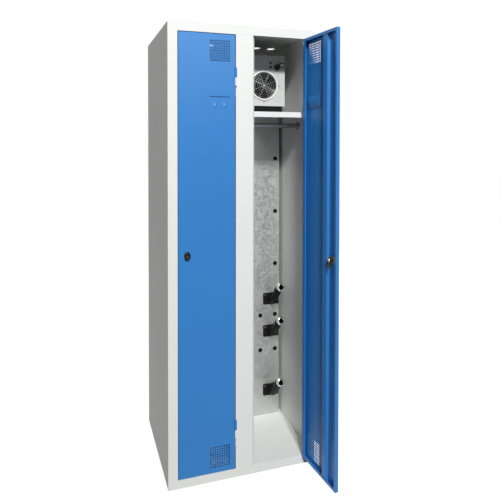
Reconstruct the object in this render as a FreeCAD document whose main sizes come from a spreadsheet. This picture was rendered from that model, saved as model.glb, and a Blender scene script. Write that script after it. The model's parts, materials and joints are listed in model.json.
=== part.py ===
import FreeCAD, Part
import math
import os
import re
import Sketcher

# Two-door drying cabinet in folded sheet steel, in millimetres.
# Frame: origin on the ground at the middle of the carcass, +Z up, doors towards -Y.
# Each compartment has a fan heater on its shelf, an air duct behind it and boot arms on the duct.
# The left door is shut and the right door stands open, each on two pin hinges at its right edge.

SIZES = {
    # carcass
    "cabinet_wide": 620,
    "cabinet_deep": 500,
    "cabinet_tall": 1800,
    "sheet_thick": 1,
    "rear_flange": 15,
    "stile_wide": 38,
    "stile_leg": 24,
    "centre_stile_wide": 74,
    "rebate_deep": 17,
    "stop_wide": 9,
    "header_tall": 34,
    "header_return": 25,
    "sill_tall": 33,
    "sill_return": 35,
    "runner_wide": 40,
    "back_inset": 1,
    # shelf and clothes rail
    "shelf_height": 1466,
    "shelf_lip": 22,
    "shelf_fold": 12,
    "shelf_set_back": 24,
    "rail_radius": 10,
    "rail_wall": 1.5,
    "rail_cup_radius": 16,
    "rail_cup_deep": 8,
    "rail_drop": 51,
    "rail_depth": 150,
    # air duct with its nozzles
    "duct_wide": 280,
    "duct_depth": 330,
    "nozzle_radius": 10,
    "nozzle_bore": 4.5,
    "nozzle_neck": 7.8,
    "nozzle_face": 7.5,
    "nozzle_hole": 8,
    "nozzle_lip": 3,
    "nozzle_tail": 5,
    "nozzle_column": 119,
    "nozzle_column_gap": 75,
    "nozzle_low_height": 347,
    "nozzle_low_pitch": 167,
    "nozzle_high_height": 760,
    "nozzle_high_pitch": 252,
    # boot arms
    "arm_column": 98,
    "arm_low_height": 125,
    "arm_mid_height": 410,
    "arm_top_height": 565,
    "plate_wide": 80,
    "plate_tall": 55,
    "plate_thick": 4,
    "plate_corner": 6,
    "rivet_radius": 3.5,
    "rivet_inset": 10,
    "socket_radius": 22,
    "socket_deep": 9,
    "tube_radius": 17,
    "tube_wall": 3,
    "tube_lead": 14,
    "tube_bend": 30,
    "tube_reach": 104,
    "tube_rise": 43,
    "tube_fit": 0.1,
    "collar_radius": 19.5,
    "collar_bore": 10.5,
    "collar_grip": 10,
    "collar_nose": 7,
    # roof vents and cable glands
    "vent_hole": 23,
    "vent_bore": 20,
    "vent_neck": 22.8,
    "vent_flange": 29,
    "vent_flange_thick": 3,
    "vent_near": 42,
    "vent_far": 118,
    "vent_depth": 382,
    "gland_bore": 4,
    "gland_neck": 8,
    "gland_hole": 8.2,
    "gland_flange": 12,
    "gland_dome": 10,
    "gland_dome_long": 11,
    "gland_flange_thick": 4,
    "gland_nut_thick": 5,
    "gland_tail": 2,
    "gland_height": 1600,
    # doors
    "door_gap": 2,
    "door_thick": 15,
    "hinge_lip": 18,
    "free_lip": 10,
    "end_lip": 12,
    "pin_proud": 4.5,
    "open_angle": 95,
    "vent_slot": 5,
    "vent_pitch": 9.5,
    "vent_rows": 9,
    "vent_edge": 23,
    "vent_top": 26,
    "vent_bottom": 22,
    "label_wide": 82,
    "label_slot": 3,
    "label_height": 1517,
    "label_drop": 38,
    "label_foot_wide": 14,
    "label_foot_tall": 5,
    "label_foot_proud": 1.5,
    "stiffener_edge": 133,
    "stiffener_wide": 43,
    "stiffener_foot": 8,
    "stiffener_deep": 12.5,
    # pin hinges
    "knuckle_radius": 4.4,
    "pin_radius": 2.5,
    "pin_fit": 0.05,
    "pin_head": 3.6,
    "pin_head_thick": 1.5,
    "door_knuckle_long": 38,
    "frame_knuckle_long": 33,
    "knuckle_gap": 0.3,
    "leaf_thick": 0.8,
    "leaf_deep": 15,
    "low_hinge_height": 195,
    "high_hinge_height": 1596,
    # cam locks
    "lock_edge": 36,
    "lock_height": 900,
    "lock_flange": 12,
    "lock_flange_thick": 3,
    "lock_body_radius": 9.4,
    "lock_hole": 9.5,
    "lock_nut_across": 24,
    "lock_nut_thick": 5,
    "plug_radius": 6,
    "plug_fit": 0.1,
    "plug_recess": 0.4,
    "key_slot_wide": 2,
    "key_slot_tall": 8,
    "key_slot_deep": 6,
    "cam_long": 35,
    "cam_wide": 14,
    "cam_thick": 2.5,
    "cam_clear": 1,
    "cam_bolt_across": 10,
    "cam_bolt_thick": 4,
    # fan heater
    "heater_wide": 200,
    "heater_tall": 223,
    "heater_depth": 180,
    "plinth_tall": 36,
    "plinth_inset": 12,
    "fan_height": 1592,
    "fan_opening": 58,
    "bezel_inner": 58,
    "bezel_outer": 66,
    "bezel_thick": 3,
    "bezel_tab_wide": 12,
    "bezel_tab_reach": 74,
    "bezel_tab_root": 4,
    "bezel_screw": 1.8,
    "guard_rings": 5,
    "guard_spokes": 8,
    "guard_hub": 9,
    "guard_outer": 62,
    "wire_thick": 1.8,
    "frame_outer": 64,
    "frame_inner": 58.5,
    "frame_deep": 38,
    "frame_flange": 3,
    "strut_wide": 7,
    "strut_thick": 4,
    "motor_radius": 21,
    "motor_deep": 12,
    "shaft_radius": 3,
    "shaft_fit": 0.05,
    "shaft_end_gap": 0.3,
    "fan_radius": 54.5,
    "fan_hub": 22,
    "fan_hub_deep": 16,
    "fan_hub_wall": 3,
    "fan_hub_face": 2,
    "fan_set_back": 6,
    "blade_count": 5,
    "blade_thick": 2,
    "root_chord": 22,
    "tip_chord": 38,
    "root_pitch": 40,
    "tip_pitch": 30,
    "element_tall": 120,
    "element_deep": 24,
    "element_gap": 60,
    "element_rim": 6,
    "fin_thick": 2,
    "fin_pitch": 17,
    "fin_count": 11,
    "outlet_side": 116,
    "outlet_hole_clear": 2,
    "outlet_depth": 400,
    "outlet_flange": 8,
    "outlet_drop": 16,
    "knob_radius": 12.5,
    "knob_deep": 14,
    "knob_cap_radius": 8,
    "knob_cap_proud": 2,
    "knob_flutes": 8,
    "knob_flute_radius": 1.6,
    "knob_skirt": 3,
    "knob_stand_off": 0.5,
    "knob_shaft": 3,
    "knob_hole": 3.3,
    "knob_across": 60,
    "control_height": 1674,
    "fuse_across": 31,
    "fuse_pitch": 19,
    "fuse_radius": 4.5,
    "fuse_proud": 4,
    "fuse_chamfer": 1,
    "fuse_neck": 3.4,
    "fuse_hole": 3.5,
    "fuse_tail": 10,
    "rocker_across": 85,
    "rocker_height": 1685,
    "rocker_long": 17,
    "rocker_radius": 8,
    "rocker_tilt": 7,
    "rocker_dish": 4.6,
    "rocker_tail": 2,
    "rocker_bezel": 2,
    "rocker_bezel_thick": 2,
    "rocker_clear": 0.6,
    "rocker_box_deep": 12,
    "rocker_box_floor": 3,
    "rocker_box_fit": 0.1,
}

doc = FreeCAD.newDocument("drying_cabinet")
dims = doc.addObject("Spreadsheet::Sheet", "dims")
for row, (alias, size) in enumerate(SIZES.items(), start=1):
    dims.set(f"A{row}", alias)
    dims.set(f"B{row}", str(size))
    dims.setAlias(f"B{row}", alias)
doc.recompute()

# Sizes that follow from the named ones.
OPENING_WIDE = "((cabinet_wide - 2 * stile_wide - centre_stile_wide) / 2)"
DOOR_WIDE = f"({OPENING_WIDE} - 2 * door_gap)"
HINGE_SIDE = "(door_gap / 2)"
LEFT_HINGE = f"(-centre_stile_wide / 2 - {HINGE_SIDE})"
RIGHT_HINGE = f"(cabinet_wide / 2 - stile_wide - {HINGE_SIDE})"
DOOR_LOW = "(sill_tall + door_gap)"
DOOR_HIGH = "(cabinet_tall - header_tall - door_gap)"
SKIN_BACK = "(pin_proud + sheet_thick)"
FLOOR_TOP = "(sill_tall - sheet_thick)"
ROOF_UNDER = "(cabinet_tall - sheet_thick)"
BACK_FACE = "(cabinet_deep - back_inset - sheet_thick)"
BAY_WIDE = "(cabinet_wide / 2 - 1.5 * sheet_thick)"
BAY_MIDDLE = "(cabinet_wide / 4 - sheet_thick / 4)"
HEATER_LOW = "(shelf_height + plinth_tall)"
HINGE_HEIGHTS = ("low_hinge_height", "high_hinge_height")
ARM_HEIGHTS = ("arm_low_height", "arm_mid_height", "arm_top_height")
SIDES = {"left": -1, "right": 1}

nodes = []
cuts = []


def linked(expression):
    """The expression with every size name pointing at the sheet."""
    return re.sub(r"[a-z_]{4,}", lambda word: f"dims.{word.group()}", str(expression))


def number(expression):
    """The present value of an expression of named sizes."""
    return float(dims.evalExpression(linked(expression)))


def bind(item, field, expression):
    """Tie one field of an object to named sizes."""
    item.setExpression(field, linked(expression))


def new_body(label, node=True):
    """An empty body; a node is written to its own file."""
    body = doc.addObject("PartDesign::Body", label)
    body.Label = label
    if node:
        nodes.append(body)
    return body


def place(item, across="0", back="0", up="0", angle=None):
    """Put an object at a place bound to named sizes, turned about the upright axis."""
    bind(item, "Placement.Base.x", across)
    bind(item, "Placement.Base.y", f"{back} - cabinet_deep / 2")
    bind(item, "Placement.Base.z", up)
    if angle is not None:
        item.Placement.Rotation = FreeCAD.Rotation(FreeCAD.Vector(0, 0, 1), 1)
        bind(item, "Placement.Rotation.Angle", angle)


def origin_part(body, role):
    """A plane or an axis of the body's own origin."""
    return next(item for item in body.Origin.OriginFeatures if item.Role == role)


def sketch_on(body, role, offset="0"):
    """An empty sketch on an origin plane, moved along the plane's normal."""
    sketch = body.newObject("Sketcher::SketchObject", f"{body.Label}_sketch")
    sketch.AttachmentSupport = [(origin_part(body, role), "")]
    sketch.MapMode = "FlatFace"
    bind(sketch, "AttachmentOffset.Base.z", offset)
    return sketch


def plan(body, offset="0"):
    """A sketch seen from above, at a height."""
    return sketch_on(body, "XY_Plane", offset)


def front(body, depth="0"):
    """A sketch seen from the front, at a depth; its normal points to -Y."""
    return sketch_on(body, "XZ_Plane", f"-({depth})")


def side(body, across="0"):
    """A sketch seen from the side, with Y to the right and Z up."""
    return sketch_on(body, "YZ_Plane", across)


def tie(sketch, kind, edge, point, expression):
    """Fix one coordinate of a sketch point to named sizes."""
    rule = Sketcher.Constraint(kind, -1, 1, edge, point, number(expression))
    bind(sketch, f"Constraints[{sketch.addConstraint(rule)}]", expression)


def outline(sketch, points):
    """A closed outline of straight edges through points of named sizes."""
    first = sketch.GeometryCount
    corners = [FreeCAD.Vector(number(x), number(y), 0) for x, y in points]
    for start, end in zip(corners, corners[1:] + corners[:1]):
        sketch.addGeometry(Part.LineSegment(start, end))
    for index, (x, y) in enumerate(points):
        following = first + (index + 1) % len(points)
        sketch.addConstraint(Sketcher.Constraint("Coincident", first + index, 2, following, 1))
        tie(sketch, "DistanceX", first + index, 1, x)
        tie(sketch, "DistanceY", first + index, 1, y)
    return sketch


def rectangle(sketch, left, low, wide, tall):
    """A rectangle from its low left corner."""
    right = f"{left} + {wide}"
    high = f"{low} + {tall}"
    return outline(sketch, [(left, low), (right, low), (right, high), (left, high)])


def circle(sketch, x, y, radius):
    """A full circle."""
    middle = FreeCAD.Vector(number(x), number(y), 0)
    edge = sketch.addGeometry(Part.Circle(middle, FreeCAD.Vector(0, 0, 1), number(radius)))
    tie(sketch, "DistanceX", edge, 3, x)
    tie(sketch, "DistanceY", edge, 3, y)
    rule = sketch.addConstraint(Sketcher.Constraint("Radius", edge, number(radius)))
    bind(sketch, f"Constraints[{rule}]", radius)
    return sketch


def pad(sketch, length, reverse=False):
    """Grow a sketch along its normal, or against it."""
    body = sketch.getParentGeoFeatureGroup()
    feature = body.newObject("PartDesign::Pad", f"{body.Label}_pad")
    feature.Profile = sketch
    feature.Reversed = reverse
    bind(feature, "Length", length)
    return feature


def pocket(sketch, length=None, reverse=False, both=False):
    """Cut a sketch against its normal, to a depth or right through."""
    body = sketch.getParentGeoFeatureGroup()
    feature = body.newObject("PartDesign::Pocket", f"{body.Label}_cut")
    feature.Profile = sketch
    feature.Reversed = reverse
    feature.Midplane = both
    if length is None:
        feature.Type = "ThroughAll"
    else:
        bind(feature, "Length", length)
    cuts.append(feature)
    return feature


def turn(sketch, axis):
    """Turn a sketch a full circle about an origin axis."""
    body = sketch.getParentGeoFeatureGroup()
    feature = body.newObject("PartDesign::Revolution", f"{body.Label}_turn")
    feature.Profile = sketch
    feature.ReferenceAxis = (origin_part(body, axis), [""])
    feature.Angle = 360
    return feature


def around(feature, axis, count):
    """Repeat a feature about an origin axis."""
    body = feature.getParentGeoFeatureGroup()
    pattern = body.newObject("PartDesign::PolarPattern", f"{body.Label}_ring")
    pattern.Originals = [feature]
    pattern.Axis = (origin_part(body, axis), [""])
    pattern.Angle = 360
    bind(pattern, "Occurrences", count)
    body.Tip = pattern
    return pattern


def group(label, parts, across="0"):
    """A node of several like solids, each a copy of a finished one at its own place."""
    item = doc.addObject("Part::Feature", label)
    item.Label = label
    item.Shape = Part.Compound(parts)
    place(item, across)
    nodes.append(item)
    return item


def copies(master, places):
    """Copies of one finished solid, moved by vectors of expressions."""
    solids = []
    for x, y, z in places:
        solid = master.Shape.copy()
        solid.translate(FreeCAD.Vector(number(x), number(y), number(z)))
        solids.append(solid)
    return solids


# Carcass: each body is drawn with Y measured back from the front face.

def side_panel(name, sign):
    """Flat side with a flange folded in along its rear edge."""
    body = new_body(f"side_panel_{name}")
    inner = f"-{sign} * sheet_thick"
    flange = f"-{sign} * rear_flange"
    outline(plan(body), [
        ("0", "0"),
        (inner, "0"),
        (inner, "cabinet_deep - sheet_thick"),
        (flange, "cabinet_deep - sheet_thick"),
        (flange, "cabinet_deep"),
        ("0", "cabinet_deep"),
    ])
    pad(body.Group[-1], "cabinet_tall")
    place(body, f"{sign} * cabinet_wide / 2")


def stile(name, sign):
    """Folded front post: face, return into the opening and door stop."""
    body = new_body(f"stile_{name}")
    wide = f"-{sign} * (stile_wide - sheet_thick)"
    wall = f"-{sign} * (stile_wide - 2 * sheet_thick)"
    stop = f"-{sign} * (stile_wide - sheet_thick + stop_wide)"
    sketch = plan(body)
    outline(sketch, [
        ("0", "0"),
        (wide, "0"),
        (wide, "rebate_deep"),
        (stop, "rebate_deep"),
        (stop, "rebate_deep + sheet_thick"),
        (wall, "rebate_deep + sheet_thick"),
        (wall, "sheet_thick"),
        (f"-{sign} * sheet_thick", "sheet_thick"),
        (f"-{sign} * sheet_thick", "stile_leg"),
        ("0", "stile_leg"),
    ])
    pad(sketch, ROOF_UNDER)
    notches = front(body, "rebate_deep")
    for low, tall in (("0", "sill_tall"), ("cabinet_tall - header_tall", "header_tall")):
        rectangle(notches, wide, low, f"-{sign} * stop_wide", tall)
    pocket(notches, "2 * sheet_thick")
    place(body, f"{sign} * (cabinet_wide / 2 - sheet_thick)")


def centre_stile():
    """Folded middle post between the two openings, with a door stop on each side."""
    body = new_body("centre_stile")
    half = "centre_stile_wide / 2"
    wall = f"({half} - sheet_thick)"
    stop = f"({half} + stop_wide)"
    back = "rebate_deep + sheet_thick"
    sketch = plan(body, "sill_tall")
    outline(sketch, [
        (f"-{half}", "0"),
        (half, "0"),
        (half, "rebate_deep"),
        (stop, "rebate_deep"),
        (stop, back),
        (wall, back),
        (wall, "sheet_thick"),
        (f"-{wall}", "sheet_thick"),
        (f"-{wall}", back),
        (f"-{stop}", back),
        (f"-{stop}", "rebate_deep"),
        (f"-{half}", "rebate_deep"),
    ])
    pad(sketch, "cabinet_tall - header_tall - sill_tall")
    place(body)


def rail_channel(name, low, high, low_return, high_return):
    """Folded cross rail of the front frame: a face with a return at each edge."""
    body = new_body(name)
    length = "cabinet_wide - 2 * stile_wide"
    sketch = side(body, f"-({length}) / 2")
    outline(sketch, [
        ("0", low),
        (low_return, low),
        (low_return, f"{low} + sheet_thick"),
        ("sheet_thick", f"{low} + sheet_thick"),
        ("sheet_thick", f"{high} - sheet_thick"),
        (high_return, f"{high} - sheet_thick"),
        (high_return, high),
        ("0", high),
    ])
    pad(sketch, length)
    place(body)


def partition():
    """Single sheet between the compartments, notched round the front frame."""
    body = new_body("partition")
    sketch = side(body, "-sheet_thick / 2")
    outline(sketch, [
        ("sheet_thick", "sill_tall"),
        ("sill_return", "sill_tall"),
        ("sill_return", FLOOR_TOP),
        (BACK_FACE, FLOOR_TOP),
        (BACK_FACE, ROOF_UNDER),
        ("header_return", ROOF_UNDER),
        ("header_return", "cabinet_tall - header_tall"),
        ("sheet_thick", "cabinet_tall - header_tall"),
    ])
    pad(sketch, "sheet_thick")
    place(body)


def back_panel():
    """Flat back with a hole for each cable gland."""
    body = new_body("back_panel")
    sketch = front(body, BACK_FACE)
    rectangle(sketch, "-cabinet_wide / 2 + sheet_thick", "0", "cabinet_wide - 2 * sheet_thick", ROOF_UNDER)
    pad(sketch, "sheet_thick", reverse=True)
    holes = front(body, BACK_FACE)
    for sign in SIDES.values():
        circle(holes, f"{sign} * {BAY_MIDDLE}", "gland_height", "gland_hole")
    pocket(holes)
    place(body)


def floor_panel():
    """Flat floor folded round a hollow runner that stands on the ground."""
    body = new_body("floor_panel")
    half = "(cabinet_wide / 2 - sheet_thick)"
    under = "(sill_tall - 2 * sheet_thick)"
    sketch = front(body, "rebate_deep + sheet_thick")
    outline(sketch, [
        (f"-{half}", FLOOR_TOP),
        (f"-{half}", under),
        ("-runner_wide / 2", under),
        ("-runner_wide / 2", "0"),
        ("runner_wide / 2", "0"),
        ("runner_wide / 2", under),
        (half, under),
        (half, FLOOR_TOP),
    ])
    inside = "runner_wide - 2 * sheet_thick"
    rectangle(sketch, f"-({inside}) / 2", "sheet_thick", inside, f"{under} - sheet_thick")
    pad(sketch, f"{BACK_FACE} - rebate_deep - sheet_thick", reverse=True)
    place(body)


def roof_panel():
    """Flat roof with two round vents over each compartment."""
    body = new_body("roof_panel")
    sketch = plan(body, ROOF_UNDER)
    wide = "cabinet_wide - 2 * sheet_thick"
    rectangle(sketch, f"-({wide}) / 2", "0", wide, "cabinet_deep - sheet_thick")
    pad(sketch, "sheet_thick")
    holes = plan(body, "cabinet_tall")
    for x in vent_places():
        circle(holes, x, "vent_depth", "vent_hole")
    pocket(holes)
    place(body)


def vent_places():
    """Where the roof vents stand across the cabinet."""
    return [
        f"({sign} * {BAY_MIDDLE} + {offset})"
        for sign in SIDES.values()
        for offset in ("vent_near", "vent_far")
    ]


def roof_vents():
    """Plastic rings that line the roof holes, with a flange under the ceiling."""
    ring = new_body("roof_vent", node=False)
    outline(side(ring), [
        ("vent_bore", "-vent_flange_thick"),
        ("vent_flange", "-vent_flange_thick"),
        ("vent_flange", "0"),
        ("vent_neck", "0"),
        ("vent_neck", "sheet_thick"),
        ("vent_bore", "sheet_thick"),
    ])
    turn(ring.Group[-1], "Z_Axis")
    doc.recompute()
    group("roof_vents", copies(ring, [(x, "vent_depth", ROOF_UNDER) for x in vent_places()]))


def cable_glands():
    """Threaded glands for the two supply cables, nut inside and dome outside the back."""
    gland = new_body("cable_gland", node=False)
    front_end = "-sheet_thick - gland_nut_thick - gland_tail"
    outline(plan(gland), [
        ("gland_bore", front_end),
        ("gland_neck", front_end),
        ("gland_neck", "-sheet_thick - gland_nut_thick"),
        ("gland_flange", "-sheet_thick - gland_nut_thick"),
        ("gland_flange", "-sheet_thick"),
        ("gland_neck", "-sheet_thick"),
        ("gland_neck", "0"),
        ("gland_flange", "0"),
        ("gland_flange", "gland_flange_thick"),
        ("gland_dome", "gland_flange_thick"),
        ("gland_neck", "gland_dome_long"),
        ("gland_bore", "gland_dome_long"),
    ])
    turn(gland.Group[-1], "Y_Axis")
    doc.recompute()
    outside = f"{BACK_FACE} + sheet_thick"
    places = [(f"{sign} * {BAY_MIDDLE}", outside, "gland_height") for sign in SIDES.values()]
    group("cable_glands", copies(gland, places))


# Compartment pieces: X is measured from the middle of the compartment.

def shelf(name, sign):
    """Folded shelf with a front lip and a square hole for the hot-air outlet."""
    body = new_body(f"shelf_{name}")
    under = "(shelf_height - sheet_thick)"
    low = "(shelf_height - shelf_lip)"
    lip = "(shelf_set_back + sheet_thick)"
    fold = "(shelf_set_back + shelf_fold)"
    sketch = side(body, f"-{BAY_WIDE} / 2")
    outline(sketch, [
        ("shelf_set_back", "shelf_height"),
        ("shelf_set_back", low),
        (fold, low),
        (fold, f"{low} + sheet_thick"),
        (lip, f"{low} + sheet_thick"),
        (lip, under),
        (BACK_FACE, under),
        (BACK_FACE, "shelf_height"),
    ])
    pad(sketch, BAY_WIDE)
    hole = "(outlet_side + 2 * outlet_hole_clear)"
    opening = plan(body, "shelf_height")
    rectangle(opening, f"-{hole} / 2", f"outlet_depth - {hole} / 2", hole, hole)
    pocket(opening, "2 * sheet_thick")
    place(body, f"{sign} * {BAY_MIDDLE}")


def clothes_rail(name, sign):
    """Round tube across the compartment with a cup at each wall."""
    body = new_body(f"clothes_rail_{name}")
    half = f"({BAY_WIDE} / 2)"
    shoulder = f"({half} - rail_cup_deep)"
    outline(plan(body), [
        (f"-{half}", "rail_radius - rail_wall"),
        (half, "rail_radius - rail_wall"),
        (half, "rail_cup_radius"),
        (shoulder, "rail_cup_radius"),
        (shoulder, "rail_radius"),
        (f"-{shoulder}", "rail_radius"),
        (f"-{shoulder}", "rail_cup_radius"),
        (f"-{half}", "rail_cup_radius"),
    ])
    turn(body.Group[-1], "X_Axis")
    place(body, f"{sign} * {BAY_MIDDLE}", "rail_depth", "shelf_height - rail_drop")


def nozzle_places():
    """Nozzle centres on the duct: a full column and a short one beside the boot arms."""
    left = "(nozzle_column - nozzle_column_gap)"
    low = [f"nozzle_low_height + {step} * nozzle_low_pitch" for step in range(2)]
    high = [f"nozzle_high_height + {step} * nozzle_high_pitch" for step in range(3)]
    places = [(left, height) for height in low]
    places += [("nozzle_column", height) for height in low + high]
    return places


def arm_places():
    """Middles of the boot-arm plates on the duct."""
    return [("arm_column", f"{height} + plate_tall / 2") for height in ARM_HEIGHTS]


def air_duct(name, sign):
    """Folded channel over the back wall that brings warm air down to the nozzles and arms."""
    body = new_body(f"air_duct_{name}")
    half = "duct_wide / 2"
    wall = "(duct_wide / 2 - sheet_thick)"
    skin = "duct_depth + sheet_thick"
    sketch = plan(body, FLOOR_TOP)
    outline(sketch, [
        (f"-{half}", "duct_depth"),
        (half, "duct_depth"),
        (half, BACK_FACE),
        (wall, BACK_FACE),
        (wall, skin),
        (f"-{wall}", skin),
        (f"-{wall}", BACK_FACE),
        (f"-{half}", BACK_FACE),
    ])
    pad(sketch, f"shelf_height - sheet_thick - {FLOOR_TOP}")
    holes = front(body, "duct_depth")
    for x, z in nozzle_places():
        circle(holes, x, z, "nozzle_hole")
    for x, z in arm_places():
        circle(holes, x, z, "tube_radius - tube_wall")
    pocket(holes, "2 * sheet_thick")
    place(body, f"{sign} * {BAY_MIDDLE}")


def duct_nozzles(name, sign, nozzle):
    """Rubber nozzles seated in the duct's holes."""
    places = [(x, "duct_depth", z) for x, z in nozzle_places()]
    group(f"duct_nozzles_{name}", copies(nozzle, places), f"{sign} * {BAY_MIDDLE}")


def nozzle_master():
    """One nozzle: a round lip on the duct's face and a neck through the sheet."""
    nozzle = new_body("duct_nozzle", node=False)
    outline(plan(nozzle), [
        ("nozzle_bore", "nozzle_tail"),
        ("nozzle_neck", "nozzle_tail"),
        ("nozzle_neck", "0"),
        ("nozzle_radius", "0"),
        ("nozzle_face", "-nozzle_lip"),
        ("nozzle_bore", "-nozzle_lip"),
    ])
    turn(nozzle.Group[-1], "Y_Axis")
    return nozzle


def arm_base_master():
    """One boot-arm plate with its socket boss and the head of its rivet."""
    base = new_body("boot_arm_base", node=False)
    sketch = front(base)
    rectangle(sketch, "-plate_wide / 2", "-plate_tall / 2", "plate_wide", "plate_tall")
    pad(sketch, "plate_thick")
    boss = front(base, "-plate_thick")
    circle(boss, "0", "0", "socket_radius")
    pad(boss, "socket_deep")
    rivet = front(base, "-plate_thick")
    circle(rivet, "-plate_wide / 2 + rivet_inset", "plate_tall / 2 - rivet_inset", "rivet_radius")
    pad(rivet, "rivet_radius / 2")
    bore = front(base, "-plate_thick - socket_deep")
    circle(bore, "0", "0", "tube_radius + tube_fit")
    pocket(bore)
    doc.recompute()
    square = base.Tip
    upright = [
        f"Edge{index + 1}" for index, edge in enumerate(square.Shape.Edges)
        if len(edge.Vertexes) == 2
        and abs(abs(edge.Vertexes[0].X) - number("plate_wide / 2")) < 1e-6
        and abs(abs(edge.Vertexes[0].Z) - number("plate_tall / 2")) < 1e-6
        and abs(edge.Vertexes[0].X - edge.Vertexes[1].X) < 1e-6
        and abs(edge.Vertexes[0].Z - edge.Vertexes[1].Z) < 1e-6
    ]
    rounded = base.newObject("PartDesign::Fillet", "boot_arm_corners")
    rounded.Base = (square, upright)
    bind(rounded, "Radius", "plate_corner")
    return base


def arm_path():
    """Middle line of a boot arm: from the duct through the plate, a bend upwards and a straight reach."""
    start = FreeCAD.Vector(0, 0, 0)
    lead = start + FreeCAD.Vector(0, -number("plate_thick + tube_lead"), 0)
    bend = number("tube_bend")
    rise = math.radians(number("tube_rise"))
    centre = lead + FreeCAD.Vector(0, 0, bend)
    middle = centre + FreeCAD.Vector(0, -bend * math.sin(rise / 2), -bend * math.cos(rise / 2))
    end = centre + FreeCAD.Vector(0, -bend * math.sin(rise), -bend * math.cos(rise))
    along = FreeCAD.Vector(0, -math.cos(rise), math.sin(rise))
    tip = end + along * number("tube_reach")
    return start, lead, middle, end, tip, along


def arm_tube_shape():
    """One hollow boot-arm tube, swept along the arm's middle line."""
    start, lead, middle, end, tip, _ = arm_path()
    edges = [
        Part.LineSegment(start, lead).toShape(),
        Part.Arc(lead, middle, end).toShape(),
        Part.LineSegment(end, tip).toShape(),
    ]
    path = Part.Wire(edges)
    outward = FreeCAD.Vector(0, -1, 0)
    walls = []
    for radius in (number("tube_radius"), number("tube_radius - tube_wall")):
        ring = Part.Wire([Part.makeCircle(radius, start, outward)])
        walls.append(path.makePipeShell([ring], True, False))
    return walls[0].cut(walls[1])


def collar_master():
    """One bright collar over the end of a boot arm, its mouth facing forwards."""
    collar = new_body("boot_arm_collar", node=False)
    outline(plan(collar), [
        ("collar_bore", "0"),
        ("tube_radius + tube_fit", "0"),
        ("tube_radius + tube_fit", "collar_grip"),
        ("collar_radius", "collar_grip"),
        ("collar_radius", "-collar_nose / 2"),
        ("collar_bore", "-collar_nose"),
    ])
    turn(collar.Group[-1], "Y_Axis")
    return collar


def boot_arms(name, sign, base, collar):
    """The plates, tubes and collars of one compartment's boot arms."""
    across = f"{sign} * {BAY_MIDDLE}"
    places = [(x, "duct_depth", z) for x, z in arm_places()]
    group(f"boot_arm_bases_{name}", copies(base, places), across)
    tube = arm_tube_shape()
    tip = arm_path()[4]
    nose = collar.Shape.copy()
    nose.rotate(FreeCAD.Vector(0, 0, 0), FreeCAD.Vector(1, 0, 0), -number("tube_rise"))
    nose.translate(tip)
    tubes = []
    noses = []
    for x, y, z in places:
        move = FreeCAD.Vector(number(x), number(y), number(z))
        for shape, batch in ((tube, tubes), (nose, noses)):
            solid = shape.copy()
            solid.translate(move)
            batch.append(solid)
    group(f"boot_arm_tubes_{name}", tubes, across)
    group(f"boot_arm_collars_{name}", noses, across)


# Doors: the origin is the hinge axis, X runs to the left from it and Y to the inside.

def hang(body, name):
    """Put a door piece on its hinge axis, turned with the door."""
    hinge = LEFT_HINGE if name == "left" else RIGHT_HINGE
    place(body, hinge, "-pin_proud", "0", "0" if name == "left" else "open_angle")


def door_panel(name):
    """Folded door pan with ventilation holes, a pressed label holder and a lock hole."""
    body = new_body(f"door_panel_{name}")
    free = f"(-{HINGE_SIDE} - {DOOR_WIDE})"
    tall = f"({DOOR_HIGH} - {DOOR_LOW})"
    pan = front(body, "pin_proud")
    rectangle(pan, free, DOOR_LOW, DOOR_WIDE, tall)
    pad(pan, "door_thick", reverse=True)
    cavity = front(body, SKIN_BACK)
    rectangle(
        cavity,
        f"{free} + sheet_thick",
        f"{DOOR_LOW} + sheet_thick",
        f"{DOOR_WIDE} - 2 * sheet_thick",
        f"{tall} - 2 * sheet_thick",
    )
    pocket(cavity, "door_thick - 2 * sheet_thick")
    mouth = front(body, "pin_proud + door_thick / 2")
    rectangle(
        mouth,
        f"{free} + free_lip",
        f"{DOOR_LOW} + end_lip",
        f"{DOOR_WIDE} - free_lip - hinge_lip",
        f"{tall} - 2 * end_lip",
    )
    pocket(mouth, "door_thick")
    feet = front(body, SKIN_BACK)
    right_edge = f"(-{HINGE_SIDE} - vent_edge)"
    for left in (f"{right_edge} - label_wide + label_foot_wide", f"{right_edge} - 2 * label_foot_wide"):
        rectangle(feet, left, "label_height - label_drop", "label_foot_wide", "label_foot_tall")
    pad(feet, "sheet_thick + label_foot_proud")
    slot = front(body, "pin_proud")
    rectangle(slot, f"{right_edge} - label_wide", "label_height", "label_wide", "label_slot")
    pocket(slot, "2 * sheet_thick")
    hole = front(body, "pin_proud")
    circle(hole, f"{free} + lock_edge", "lock_height", "lock_hole")
    pocket(hole, "2 * sheet_thick")
    span = "((vent_rows - 1) * vent_pitch)"
    for low in (f"{DOOR_LOW} + vent_bottom", f"{DOOR_HIGH} - vent_top - {span} - vent_slot"):
        opening = front(body, "pin_proud")
        rectangle(opening, f"{right_edge} - {span} - vent_slot", low, "vent_slot", "vent_slot")
        first = pocket(opening, "2 * sheet_thick")
        grid = body.newObject("PartDesign::LinearPattern", f"{body.Label}_grid")
        grid.Originals = [first]
        grid.Direction = (opening, ["H_Axis"])
        grid.Direction2 = (opening, ["V_Axis"])
        for suffix in ("", "2"):
            bind(grid, f"Length{suffix}", span)
            bind(grid, f"Occurrences{suffix}", "vent_rows")
        body.Tip = grid
    hang(body, name)


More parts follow.
